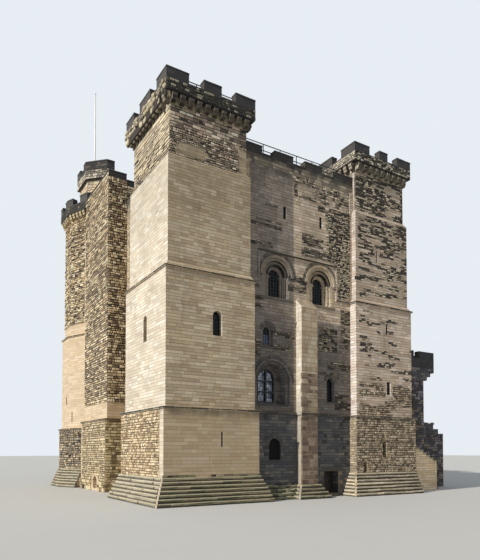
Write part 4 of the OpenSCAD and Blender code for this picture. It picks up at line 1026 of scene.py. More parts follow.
@dataclass(frozen=True)
class Tower:
    """A square corner tower, with its outline and its two outer sides."""

    name: str
    outline: tuple[float, float, float, float]
    outer: str

    def faces(self, inset: float) -> dict[str, Face]:
        """Its four faces, by side letter, at a stage that is set in by a distance."""
        x0, y0, x1, y1 = self.outline
        x0, y0, x1, y1 = x0 + inset, y0 + inset, x1 - inset, y1 - inset
        return {
            "s": Face((x0, y0), (x1, y0)),
            "w": Face((x0, y1), (x0, y0)),
            "e": Face((x1, y0), (x1, y1)),
            "n": Face((x1, y1), (x0, y1)),
        }


TOWERS = SW_TOWER, SE_TOWER, NE_TOWER = (
    Tower("sw_tower", (0.0, 0.0, WEST_LINE, SOUTH_LINE), "sw"),
    Tower("se_tower", (EAST_LINE, 0.0, KEEP_W, SOUTH_LINE), "se"),
    Tower("ne_tower", (EAST_LINE, NORTH_LINE, KEEP_W, KEEP_D), "ne"),
)


@dataclass
class Plinths:
    """Stepped plinths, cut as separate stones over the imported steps."""

    stone: float = 0.95
    wear: float = 0.026
    share: float = 0.36
    play: float = 0.012

    def steps(
        self, pair: tuple[Mason, Mason], faces: Callable[[float], Iterable[Face]], count: int, out: float
    ) -> None:
        """Lays every step: worn stones over a thin dark bed, partly painted shadow, rougher on the west
        sides.

        Args:
            pair: The masons of the stones and of the beds.
            faces: Gives the faces of a step from how far it stands out.
            count: How many steps there are.
            out: How far each one stands out from the next.
        """
        nosing, bed = pair
        for k in range(count):
            for face in faces((count - k) * out):
                foot, middle, top = ((k + share) * PLINTH_RISE for share in (0.0, self.share, 1.0))
                lumpy = self.play * 3 if face.left[1] - face.right[1] > 2.0 else self.play
                bed.course(face, (foot, middle), 0.009, self.stone * 0.7, 0.010, 0.005, LAP)
                nosing.course(face, (middle, top), lumpy + 0.016, self.stone, 0.008, lumpy, LAP)

    def close(self, pair: tuple[Mason, Mason], name: str, finish: Stone, worn: float = 1.0) -> None:
        """Rounds the stones of one plinth and makes its two pieces."""
        nosing, bed = pair
        nosing.soften(0.040, 1, 0.27).weather(0.35, self.wear * worn)
        nosing.finish(f"{name}_plinth_stones", finish, Slot.BASE)
        bed.weather(0.25, 0.004).finish(f"{name}_plinth_beds", PLINTH_BED, Slot.BASE)

    @staticmethod
    def sides(tower: Tower, out: float) -> Iterable[Face]:
        """The free plinth faces of a square tower at one step."""
        x0, y0, x1, y1 = tower.outline
        near = SETBACK + out
        west_x, east_x = x0 - near, x1 + (near if tower is SW_TOWER else SETBACK)
        if tower is NE_TOWER:
            yield Face((east_x, y1 + near), (west_x, y1 + near))
            yield Face((west_x, y1 + near - LAP), (west_x, NORTH_Y))
            return
        yield Face((west_x, y0 - near), (east_x, y0 - near))
        if tower is SW_TOWER:
            yield Face((west_x, y1 + near), (west_x, y0 - near + LAP))
            yield Face((WEST_X, y1 + near), (west_x + LAP, y1 + near))
            yield Face((east_x, y0 - near + LAP), (east_x, WALL_BASE_Y))
        else:
            yield Face((west_x, WALL_BASE_Y), (west_x, y0 - near + LAP))

    @staticmethod
    def buttress_sides(out: float) -> Iterable[Face]:
        """The three free plinth faces of the buttress at one step."""
        x0, x1 = BUTTRESS_WEST - out, BUTTRESS_EAST + out
        yield Face((x0, -out), (x1, -out))
        yield Face((x0, WALL_BASE_Y), (x0, -out + LAP))
        yield Face((x1, -out + LAP), (x1, WALL_BASE_Y))

    def build(self) -> None:
        """Makes the plinths of the towers and of the buttress."""
        for tower in TOWERS:
            pair = (Mason(3), Mason(53))
            self.steps(pair, lambda out, tower=tower: self.sides(tower, out), PLINTH_STEPS, PLINTH_OUT)
            self.close(pair, tower.name, SE_PLINTH if tower is SE_TOWER else PLINTH_STONE)
        pair = (Mason(5), Mason(55))
        self.steps(pair, lambda out: poly_faces(-SETBACK - out), PLINTH_STEPS, PLINTH_OUT)
        self.close(pair, "nw_tower", PLINTH_STONE, 1.5)
        pair = (Mason(6), Mason(56))
        self.steps(pair, self.buttress_sides, BUTTRESS_STEPS, BUTTRESS_OUT)
        for k in range(BUTTRESS_STEPS):
            past = (BUTTRESS_STEPS - k) * BUTTRESS_OUT
            west = WEST_LINE + SETBACK + (PLINTH_STEPS - k) * PLINTH_OUT
            face = Face((west, WALL_BASE_Y - past), (BUTTRESS_WEST - past, WALL_BASE_Y - past))
            pair[0].course(face, (k * PLINTH_RISE, (k + 1) * PLINTH_RISE), 0.034, 0.3, 0.02, 0.03, LAP)
        self.close(pair, "buttress", PLINTH_STONE)


# ---------------------------------------------------------------- rubble faces
Cover = Callable[[float, float], bool]


def in_runs(
    seed: float, share: float, fine: float = 1.0, more: float = 0.0, floor: float = 0.0, edge: float = 0.0
) -> Cover:
    """Covers a face in long level patches with ragged ends.

    Args:
        seed: Chooses the patches.
        share: About how much of the face they cover at its floor.
        fine: How much smaller than usual they are.
        more: How much the share grows with each metre of height.
        floor: The height where the growth starts.
        edge: Width of the clean quoins at the left end.

    Returns:
        A test of a place on the face.
    """

    def test(u: float, v: float) -> bool:
        """True inside a patch."""
        broad = noise.noise(Vector((u * 0.34 * fine, v * 2.1 * fine, seed)))
        ragged = noise.noise(Vector((u * 1.1, v * 7.5, seed + 5.0))) * 0.4
        return u > edge and broad + ragged > 0.5 - share - more * (v - floor)

    return test


def east_side(u: float, v: float) -> bool:
    """Covers the south wall beside the south-east tower, wider above the hall windows."""
    return u + noise.noise(Vector((2.0, v * 1.9, 6.0))) * 0.5 > (0.35 if v > 15.3 else 1.25)


def broken(u: float, v: float) -> bool:
    """Covers most of a face, in blotches."""
    return noise.noise(Vector((u * 1.1, v * 1.6, 4.0))) > -0.22


@dataclass
class RubbleFace:
    """Rough stones on part of a face, on their dark bed.

    Attributes:
        face: The face.
        v: Where the stones start and end in height.
        rise: Usual height of a course.
        run: Usual length of a stone.
        out: Least and most that a stone stands out.
        cover: Tests whether a place has stones; None where all have.
        holes: Left, right, foot and top of each opening.
        bed_out: How far the bed stands out.
        split: Share of the stones that are cut in two in height.
        gap: Narrowest and widest half of a joint.
        back: How far the stones go into the wall.
    """

    face: Face
    v: Point
    rise: float = 0.17
    run: float = 0.32
    out: Point = (0.008, 0.032)
    cover: Cover | None = None
    holes: tuple[Hole, ...] = ()
    bed_out: float = 0.003
    split: float = 0.0
    gap: Point = (0.008, 0.018)
    back: float = 0.1

    def taken(self, u: Point, v: Point) -> bool:
        """True where a stone belongs and meets no hole."""
        if self.cover and not self.cover((u[0] + u[1]) / 2, (v[0] + v[1]) / 2):
            return False
        return all(u[1] <= h[0] or u[0] >= h[1] or v[1] <= h[2] or v[0] >= h[3] for h in self.holes)

    def cut(self, stones: Mason, u: Point, v: Point) -> None:
        """Cuts one stone, or one over another."""
        rng, (low, high) = stones.rng, v
        middle = low + (high - low) * rng.uniform(0.35, 0.65)
        halves = ((low, middle), (middle, high)) if rng.random() < self.split else (v,)
        for foot, top in halves:
            gap, shrink = rng.uniform(*self.gap), rng.uniform(0.0, 0.02)
            height = (foot + gap, max(foot + gap + 0.03, top - gap - shrink))
            stones.slab(self.face, (u[0] + gap, u[1] - gap), height, rng.uniform(*self.out), self.back)

    def lay(self, stones: Mason, beds: Mason) -> None:
        """Lays the courses, with a bed behind each unbroken row of stones."""
        (low, top), length, rng = self.v, self.face.length, stones.rng
        while low < top - 0.03:
            high = low + self.rise * rng.uniform(0.72, 1.3)
            if top - high < self.rise * 0.5:
                high = top
            u, bed = 0.0, None
            while u < length - 0.02:
                end = u + self.run * rng.uniform(0.5, 1.5)
                if length - end < self.run * 0.35:
                    end = length
                if self.taken((u, end), (low, high)):
                    self.cut(stones, (u, end), (low, high))
                    bed = (bed[0] if bed else u, end)
                elif bed:
                    beds.slab(self.face, bed, (low, high), self.bed_out)
                    bed = None
                u = end
            if bed:
                beds.slab(self.face, bed, (low, high), self.bed_out)
            low = high


@dataclass
class RubbleWork:
    """All the rubble facing of one part of the keep."""

    name: str
    faces: Iterable[RubbleFace]
    finish: Stone
    seed: int = 1
    bevel: float = 0.016
    worn: float = 0.008
    bedding: Stone = BEDDING

    def build(self) -> None:
        """Makes the stones and the beds."""
        stones, beds = Mason(self.seed), Mason(self.seed)
        for part in self.faces:
            part.lay(stones, beds)
        stones.soften(self.bevel).weather(0.13, self.worn)
        stones.finish(f"{self.name}_stones", self.finish, Slot.RUBBLE)
        beds.finish(f"{self.name}_beds", self.bedding, Slot.RUBBLE)


PATCHES = (
    (5.70, 7.95, 16.50, 16.98), (5.70, 7.30, 15.28, 15.62), (6.75, 7.65, 17.88, 18.16),
    (10.85, 12.15, 18.45, 18.80), (9.55, 11.30, 16.00, 16.76), (9.50, 12.50, 15.28, 15.86),
    (8.50, 9.88, 12.86, 13.84), (7.25, 8.95, 9.85, 10.20), (7.35, 8.70, 9.08, 9.42),
    (10.90, 12.45, 9.35, 10.86), (12.75, 13.60, 9.65, 12.25), (11.60, 13.60, 8.20, 8.70),
    (5.70, 6.65, 11.50, 12.50), (9.15, 10.25, 10.30, 10.90), (10.40, 12.60, 7.60, 8.00),
    (12.20, 13.60, 5.60, 6.60), (5.70, 6.40, 8.60, 9.60),
)


def wall_patch(number: int, x0: float, x1: float, z0: float, z1: float) -> RubbleFace:
    """A ragged patch of decayed small stones on the south wall, between two places and heights."""
    face, cover = Face((x0, WALL_Y), (x1, WALL_Y)), in_runs(7.0 + number, 0.80, 1.8)
    return RubbleFace(face, (z0, z1), 0.115, 0.30, (0.004, 0.03), cover, gap=(0.009, 0.020))


BAND, BAND_INSET = (22.40, 22.98), -0.03
FOOT_TOP, SLOPE_TOP, STAGE_SPLIT, CORBEL_FOOT = 5.13, 19.16, 20.75, 21.84
FOOT_STAGE, GATE_STAGE, SLOPE = (1.5, FOOT_TOP), (0.0, 8.7), (18.95, SLOPE_TOP)
LOWER_STAGE, TOP_STAGE = (SLOPE_TOP, STAGE_SPLIT), (STAGE_SPLIT, CORBEL_FOOT)
UPPER_STAGE, WALK_STAGE, SE_STAGE = (SLOPE_TOP, CORBEL_FOOT), (WALK, CORBEL_FOOT), (19.2, CORBEL_FOOT)


def parapet_works() -> Iterable[RubbleWork]:
    """The bands of rough stones under the crenels of the tower parapets."""
    sw, se, ne = (tower.faces(BAND_INSET) for tower in TOWERS)
    bands = [RubbleFace(sw[side], BAND, 0.14, 0.26, (0.004, 0.05), split=0.2) for side in "sen"]
    yield RubbleWork("sw_tower_band", bands, SPECKLED_STONE, 10, 0.02, 0.012)
    lumps = (
        RubbleFace(sw["w"], BAND, 0.29, 0.36, (0.02, 0.15), gap=(0.015, 0.035)),
        RubbleFace(
            sw["w"].trimmed(0.1, 6.1), (22.02, 22.40), 0.38, 0.34, (-0.10, 0.12), in_runs(5.0, 0.75, 3.0),
            gap=(0.015, 0.04), back=0.34,
        ),
    )
    yield RubbleWork("sw_tower_lumps", lumps, LUMPS, 9, 0.055, 0.035)
    sides = [faces[side] for faces in (se, ne) for side in "sewn"]
    bands = [RubbleFace(face, BAND, 0.13, 0.24, (0.006, 0.045)) for face in sides]
    yield RubbleWork("parapet_bands", bands, BAND_STONE, 10)
    lifted = (BAND[0] + POLY_LIFT, BAND[1] + POLY_LIFT)
    bands = [RubbleFace(face, lifted, 0.19, 0.36, (0.004, 0.03)) for face in poly_faces(SETBACK - POLY_OVER)]
    yield RubbleWork("nw_tower_band", bands, NORTH_BAND, 8)


def west_works() -> Iterable[RubbleWork]:
    """The south-west tower, the buttress, the west block and the many-sided tower."""
    sw, edge = SW_TOWER.faces(2 * SETBACK), SW_TOWER.faces(1.45 * SETBACK)
    slit = (4.45, 4.91, 18.9, 20.5)
    south = (
        RubbleFace(sw["s"], TOP_STAGE, 0.17, 0.40, (0.004, 0.024), holes=(slit,), gap=(0.006, 0.014)),
        RubbleFace(
            sw["s"], LOWER_STAGE, 0.13, 0.27, (0.012, 0.060), holes=((0.55, 2.1, 19.2, 19.9), slit),
            gap=(0.012, 0.030),
        ),
        RubbleFace(edge["s"], SLOPE, 0.13, 0.26, (0.0, 0.05), holes=((4.45, 5.3, 18.9, 20.5),)),
        RubbleFace(sw["e"].trimmed(0.26, 5.41), WALK_STAGE),
        RubbleFace(sw["n"], WALK_STAGE),
    )
    yield RubbleWork("sw_tower_top", south, TOP_RUBBLE, 11, 0.018, 0.012)
    west = (
        RubbleFace(sw["w"], TOP_STAGE, 0.17, 0.52, (0.004, 0.03), gap=(0.005, 0.014)),
        RubbleFace(sw["w"], LOWER_STAGE, 0.16, 0.46, (0.004, 0.06), gap=(0.010, 0.030)),
        RubbleFace(edge["w"], SLOPE, 0.13, 0.40, (0.0, 0.03)),
    )
    yield RubbleWork("sw_tower_top_west", west, TOP_YELLOW, 25, 0.018, 0.014)
    foot = (
        RubbleFace(BUTTRESS_FRONT, (0.87, 5.03), 0.26, 0.42, (0.008, 0.016), gap=(0.008, 0.013)),
        RubbleFace(BUTTRESS_FRONT, (5.17, 8.0), 0.20, 0.34, (0.008, 0.016), in_runs(11.0, 0.62, 1.6)),
    )
    yield RubbleWork("buttress_foot", foot, BUTTRESS_FOOT, 26, 0.008, 0.003, PALE_BED)
    corner = (-SETBACK, SOUTH_LINE + SETBACK)
    foot = (
        RubbleFace(
            Face(corner, (-SETBACK, 0.35)), FOOT_STAGE, 0.15, 0.22, (0.006, 0.05), split=0.15,
            gap=(0.008, 0.022),
        ),
        RubbleFace(Face((WEST_X, corner[1]), corner), FOOT_STAGE, 0.17, 0.30),
    )
    yield RubbleWork("sw_tower_foot", foot, FOOT_YELLOW, 12, 0.022, 0.016, WARM_BED)
    corner, inner = (BLOCK_X, BLOCK_Y), (WEST_X, BLOCK_Y)
    block = (
        RubbleFace(
            Face((BLOCK_X, 17.45), corner), (6.45, 23.20), 0.155, 0.44, (0.004, 0.045), gap=(0.012, 0.028)
        ),
        RubbleFace(Face(corner, inner), (6.45, 22.86), 0.18, 0.26, (0.006, 0.08), gap=(0.012, 0.030)),
        RubbleFace(Face(inner, (5.6, BLOCK_Y)), (20.35, 22.5), 0.17, 0.34),
    )
    yield RubbleWork("west_block", block, BLOCK_RUBBLE, 13, 0.018, 0.012)
    corner = (BLOCK_X - SETBACK, BLOCK_Y - SETBACK)
    face = Face((corner[0], 17.4), corner)
    foot = (
        RubbleFace(
            face, (0.75, FOOT_TOP), 0.17, 0.28, (0.006, 0.05), holes=((3.05, 4.0, 0.0, 1.1),),
            gap=(0.010, 0.026),
        ),
        RubbleFace(face, (0.0, 0.75), 0.24, 0.42, (0.08, 0.30), holes=((2.95, 4.1, 0.0, 1.1),)),
        RubbleFace(Face(corner, (WEST_X, corner[1])), (0.0, FOOT_TOP), 0.18, 0.34),
    )
    yield RubbleWork("west_block_foot", foot, YELLOW_RUBBLE, 20, 0.022, 0.016, WARM_BED)
    sides = [
        RubbleFace(face, (13.5, 22.27), 0.14, 0.36, (0.0, 0.08), gap=(0.008, 0.026))
        for face in poly_faces(SETBACK)
    ]
    yield RubbleWork("nw_tower_faces", sides, NORTH_RUBBLE, 14, 0.016, 0.016)
    sides = [
        RubbleFace(face, (1.5, 4.68), 0.17, 0.28, (0.0, 0.06), gap=(0.012, 0.032))
        for face in poly_faces(-SETBACK)
    ]
    yield RubbleWork("nw_tower_foot", sides, NORTH_FOOT, 24)


def south_works() -> Iterable[RubbleWork]:
    """The south-east tower and the south wall."""
    foot = (
        RubbleFace(
            SE_BASE_FRONT, FOOT_STAGE, 0.14, 0.22, (0.006, 0.030),
            holes=((2.35, 2.79, 2.40, 3.65), (0.59, 0.99, 1.5, 2.3)),
        ),
        RubbleFace(
            SE_FRONT, (5.28, 7.5), 0.13, 0.22, (0.004, 0.025), in_runs(3.0, 0.74, edge=0.2),
            ((2.78, 3.24, 6.7, 7.7),),
        ),
    )
    yield RubbleWork("se_tower_foot", foot, FOOT_RUBBLE, 15)
    se, inset = SE_TOWER.faces(2 * SETBACK), 2 * SETBACK
    runs = (
        RubbleFace(
            SE_FRONT, (7.7, 12.5), 0.12, 0.26, (0.004, 0.02), in_runs(4.0, 0.24, 1.5, edge=0.3),
            ((2.35, 2.9, 9.9, 11.2),),
        ),
        RubbleFace(
            SE_TOWER.faces(SETBACK)["s"], (13.15, 18.9), 0.115, 0.30, (0.004, 0.026),
            in_runs(8.0, 0.31, 1.2, 0.085, 13.15, 0.22), ((1.86, 2.1, 15.8, 16.7),),
        ),
        RubbleFace(
            Face((WALK_EAST, inset), (KEEP_W - inset, inset)), SE_STAGE, 0.12, 0.30, (0.004, 0.03),
            in_runs(9.0, 0.84, 1.2, edge=0.1),
        ),
        RubbleFace(se["e"], SE_STAGE, 0.16, 0.30),
        RubbleFace(se["w"].trimmed(0.0, 5.1), WALK_STAGE),
        RubbleFace(se["n"], WALK_STAGE),
    )
    yield RubbleWork("se_tower_runs", runs, RUN_RUBBLE, 16, 0.012)
    side = RubbleFace(
        Face((11.3, WALL_Y), (EAST_LINE, WALL_Y)), (12.95, 18.85), 0.10, 0.18, (0.004, 0.028), east_side
    )
    yield RubbleWork("south_wall_east_side", (side,), SPECK_RUBBLE, 22, 0.012)
    runs = RubbleFace(
        Face((8.95, WALK_Y), (WALK_EAST, WALK_Y)), (18.95, 20.28), 0.12, 0.24, (0.006, 0.045), broken,
        ((0.35, 1.6, 19.36, 19.75),),
    )
    yield RubbleWork("south_wall_runs", (runs,), MIXED_RUBBLE, 17, 0.012)
    patches = [wall_patch(number, *patch) for number, patch in enumerate(PATCHES)]
    yield RubbleWork("south_wall_patches", patches, PATCH_RUBBLE, 27, 0.012)
    face = Face((-SETBACK, -SETBACK), (WEST_LINE + SETBACK, -SETBACK))
    ledge = RubbleFace(face, (1.50, 1.62), 0.12, 0.40, (0.0, 0.04), in_runs(2.0, 0.95))
    yield RubbleWork("sw_tower_ledge", (ledge,), PLINTH_STONE, 28, 0.012)


def hidden_works() -> Iterable[RubbleWork]:
    """The north-east tower and the gate turret, guessed from symmetry."""
    ne = NE_TOWER.faces(2 * SETBACK)
    places = (
        (Face((KEEP_W, KEEP_D + SETBACK), (EAST_LINE - SETBACK, KEEP_D + SETBACK)), FOOT_STAGE),
        (ne["n"], UPPER_STAGE), (ne["e"], UPPER_STAGE), (ne["s"], WALK_STAGE), (ne["w"], WALK_STAGE),
    )
    sides = [RubbleFace(face, stage, 0.2, 0.36) for face, stage in places]
    yield RubbleWork("ne_tower_faces", sides, MIXED_RUBBLE, 18)
    turret = (
        RubbleFace(Face((22.02, GATE_Y), (GATE_EAST, GATE_Y)), GATE_STAGE, 0.2, 0.34),
        RubbleFace(Face((GATE_EAST, 4.5), (GATE_EAST, 6.0)), GATE_STAGE, 0.22, 0.36),
        RubbleFace(Face((GATE_EAST, GATE_Y), (26.6, GATE_Y)), (0.0, 4.28), 0.2, 0.34),
    )
    yield RubbleWork("gate_turret", turret, DARK_RUBBLE, 19)


# ---------------------------------------------------------------- strings, copings, caps
BASE_STRING, POLY_BASE_STRING, POLY_STRING, HALL_STRING = BASE_TOP + STRING_RISE, 4.81, 12.55, 15.08
SHORT_STRINGS = (
    (Face((5.9, 0.36), (8.98, 0.36)), BASE_STRING),
    (Face((10.41, 0.36), (13.34, 0.36)), BASE_STRING),
    (Face((8.98, -STRING_OUT), (10.41, -STRING_OUT)), BASE_STRING),
    (Face((5.72, 0.49), (6.31, 0.49)), STRING_TOP),
    (Face((12.33, 0.49), (13.52, 0.49)), STRING_TOP),
    (Face((6.20, 0.46), (12.44, 0.46)), HALL_STRING),
    (Face((0.34, NORTH_LINE), (0.34, 11.38)), BASE_STRING),
    (Face((0.34, 11.38), (WEST_X, 11.38)), BASE_STRING),
)


@dataclass
class StringCourses:
    """Moulded string courses, in separate stones."""

    stone: float = 0.9
    rounding: float = 0.022

    @staticmethod
    def lines() -> Iterable[tuple[Face, float]]:
        """The outer face of every packed string course, with its top."""
        past = SETBACK + STRING_OUT
        for tower in TOWERS:
            x0, y0, x1, _ = tower.outline
            low, high = tower.faces(-past), tower.faces(-STRING_OUT)
            for side in tower.outer:
                yield low[side], BASE_STRING
                yield high[side], STRING_TOP
            if tower is SW_TOWER:
                yield Face((x1 + past, y0 - past), (x1 + past, WALL_BASE_Y)), BASE_STRING
                yield Face((x1 + STRING_OUT, y0 - STRING_OUT), (x1 + STRING_OUT, WALL_Y)), STRING_TOP
            elif tower is SE_TOWER:
                yield Face((x0 - past, WALL_BASE_Y), (x0 - past, y0 - past)), BASE_STRING
                yield Face((x0 - STRING_OUT, WALL_Y), (x0 - STRING_OUT, y0 - STRING_OUT)), STRING_TOP
        yield from ((face, POLY_BASE_STRING) for face in poly_faces(-past))
        yield from ((face, POLY_STRING) for face in poly_faces(-STRING_OUT))
        yield from SHORT_STRINGS

    def build(self) -> None:
        """Makes all the string courses."""
        mason = Mason(21)
        for face, top in self.lines():
            mason.course(face, (top - STRING_RISE, top), 0.006, self.stone, 0.008, 0.006, 0.08)
        mason.soften(self.rounding, 2).finish("string_course_stones", STRING_STONE, Slot.ASHLAR)


MERLON_END, CRENEL_END, CRENEL, CRENEL_SILL, WALL_PITCH = 1.35, 2.28, 0.93, 0.67, 2.36
WALL_MERLON_TOP, WALL_SILL = 21.46, 21.04


@dataclass
class Battlements:
    """Copings on the merlons and sills in the gaps between them."""

    overhang: float = 0.022
    thick: float = 0.09
    wall: float = 0.45
    stone: float = 0.75
    joint: float = 0.004

    def cap(self, mason: Mason, face: Face, part: Point, top: float) -> None:
        """Lays coping stones on one stretch of a parapet.

        Args:
            mason: The mason.
            face: The parapet's outer face.
            part: Where the stretch starts and ends along the face.
            top: Its top.
        """
        count = max(1, round((part[1] - part[0]) / self.stone))
        step = (part[1] - part[0]) / count
        for k in range(count):
            start, end = part[0] + k * step + self.joint, part[0] + (k + 1) * step - self.joint
            start -= self.overhang if k == 0 else 0.0
            end += self.overhang if k == count - 1 else 0.0
            lift = mason.rng.uniform(0.0, 0.009)
            mason.slab(
                face, (start, end), (top - self.thick, top + lift), self.overhang, self.wall + self.overhang
            )

    def side(self, mason: Mason, face: Face, ends: Sequence[float], top: float, sill: float) -> None:
        """Caps a side.

        Args:
            mason: The mason.
            face: The side's outer face.
            ends: Where its merlons start and end, in turn.
            top: The top of the merlons.
            sill: The top of the gaps between them.
        """
        for start, end in zip(ends[::2], ends[1::2]):
            self.cap(mason, face, (start, end), top)
        for end, start in zip(ends[1::2], ends[2::2]):
            self.cap(mason, face, (end + 0.03, start - 0.03), sill)

    @staticmethod
    def close(mason: Mason, name: str) -> None:
        """Rounds and wears the stones of one part and makes its piece."""
        mason.soften(0.015, 2).weather(0.3, 0.006).finish(f"{name}_copings", COPING, Slot.SOOT)

    def walls(self, mason: Mason) -> None:
        """Caps the parapets of the four walls."""
        for face in (
            Face((5.27, WALK_Y), (WALK_EAST, WALK_Y)), Face((EAST_X, 5.77), (EAST_X, 17.98)),
            Face((WEST_X, BLOCK_Y), (WEST_X, 5.77)), Face((WALK_EAST, NORTH_Y), (WEST_LINE, NORTH_Y)),
        ):
            ends, u = [0.0], 1.31
            while u < face.length - CRENEL:
                ends += [u, u + CRENEL]
                u += WALL_PITCH
            ends.append(face.length)
            if face.left[0] > face.right[0] or face.left[1] > face.right[1]:
                ends = sorted(face.length - end for end in ends)
            self.side(mason, face, ends, WALL_MERLON_TOP, WALL_SILL)

    def build(self) -> None:
        """Makes the copings of towers and walls."""
        for tower in TOWERS:
            mason = Mason(31)
            for face in tower.faces(BAND_INSET).values():
                length = face.length
                ends = (0.0, MERLON_END, CRENEL_END, length - CRENEL_END, length - MERLON_END, length)
                self.side(mason, face, ends, TOWER_TOP, PARAPET + CRENEL_SILL)
            self.close(mason, tower.name)
        mason = Mason(33)
        for face in poly_faces(SETBACK - POLY_OVER):
            ends = (0.0, *around(face.length / 2, CRENEL / 2), face.length)
            self.side(mason, face, ends, TOWER_TOP + POLY_LIFT, PARAPET + POLY_LIFT + CRENEL_SILL)
        self.close(mason, "nw_tower")
        mason = Mason(34)
        self.walls(mason)
        corner = (BLOCK_X, BLOCK_Y)
        self.cap(mason, Face((BLOCK_X, 17.3), corner), (0.0, 5.65), BLOCK_TOP)
        ends = (0.0, MERLON_END, CRENEL_END, 3.71, 4.64, 5.02)
        self.side(mason, Face(corner, (WEST_LINE, BLOCK_Y)), ends, BLOCK_TOP, BLOCK_TOP - 0.42)
        self.close(mason, "wall")


# ---------------------------------------------------------------- windows and doors
@dataclass(frozen=True)
class Opening:
    """A small round-headed window or slit, and how it is dressed.

    Attributes:
        name: What it is called.
        face: The face that it is in.
        u: Its middle along the face.
        sill: Height of its sill.
        width: Its width.
        height: Its height to the top of its arch.
        ring: How many wedge stones its arch has.
        bars: Whether it has bars and panes.
        reveal: How deep they stand in the wall.
        pale: Whether its panes catch the sky.
    """

    name: str
    face: Face
    u: float
    sill: float
    width: float
    height: float
    ring: int = 0
    bars: bool = True
    reveal: float = 0.24
    pale: bool = False

    @property
    def span(self) -> Point:
        """Its left and right side along the face."""
        return around(self.u, self.width / 2)

    @property
    def top(self) -> float:
        """Height of the top of its arch."""
        return self.sill + self.height


GROUND_ARCH = (SOUTH_BASE, 1.73, 2.38, 0.86, 1.29)
NE_FRONT = Face((KEEP_W, KEEP_D), (EAST_LINE, KEEP_D))
NE_TOP_FRONT = Face((KEEP_W, KEEP_D - SETBACK), (EAST_LINE, KEEP_D - SETBACK))
HALL_SILL = 12.30
OPENINGS = (
    Opening("sw_tower_south", Face((0.0, 0.0), (WEST_LINE, 0.0)), 3.14, 9.34, 0.60, 1.40, reveal=0.25),
    Opening("sw_tower_west", Face((0.0, SOUTH_LINE), (0.0, 0.0)), 3.22, 9.16, 0.50, 1.50, reveal=0.30),
    Opening("small_west", SOUTH_WALL, 1.30, 9.24, 0.74, 1.32, ring=9, reveal=0.22, pale=True),
    Opening("small_east", SOUTH_WALL, 5.77, 9.80, 0.42, 0.95, ring=7),
    Opening("arched_east", SOUTH_WALL, 6.22, 6.10, 0.66, 1.52, ring=9),
    Opening("ground_arch", *GROUND_ARCH, ring=9, bars=False),
    Opening("se_tower_arch", SE_BASE_FRONT, 2.57, 2.48, 0.34, 1.09),
    Opening("ne_tower_north", NE_FRONT, 2.60, 9.34, 0.50, 1.40),
    *(
        Opening(name, face, u, HALL_SILL, 0.90, 2.00, ring=11)
        for name, face, u in (
            ("north_hall_east", NORTH_WALL, 2.56), ("north_hall_west", NORTH_WALL, 6.01),
            ("east_hall_south", EAST_WALL, 2.07), ("east_hall_north", EAST_WALL, 5.47),
            ("west_hall", Face((WEST_X, BLOCK_Y), (WEST_X, SOUTH_LINE)), 2.76),
        )
    ),
)
SLITS = (
    Opening("ground_arch", *GROUND_ARCH, reveal=0.12),
    Opening("sw_base", Face((0.0, -SETBACK), (WEST_LINE, -SETBACK)), 3.34, 3.14, 0.12, 0.83, reveal=0.08),
    Opening("upper_west", SOUTH_WALL, 2.59, 17.30, 0.24, 0.79, reveal=0.12),
    Opening("upper_east", SOUTH_WALL, 5.47, 17.30, 0.24, 0.79, reveal=0.12),
    Opening("se_top", Face((EAST_LINE, SETBACK), (KEEP_W, SETBACK)), 2.14, 15.83, 0.12, 0.83, reveal=0.08),
    Opening("se_middle", SE_FRONT, 2.87, 10.90, 0.18, 0.90, reveal=0.08),
    Opening("se_low", SE_FRONT, 3.01, 6.76, 0.36, 0.90, reveal=0.14),
    Opening("ne_top", NE_TOP_FRONT, 2.60, 15.83, 0.12, 0.83, reveal=0.08),
    Opening("nw_low", Face(POLY_PLAN[2], POLY_PLAN[1]), 0.54, 4.90, 0.13, 0.83, reveal=0.08),
    Opening("nw_light", Face(POLY_PLAN[3], POLY_PLAN[2]), 1.57, 6.85, 0.30, 0.60, reveal=0.12),
)


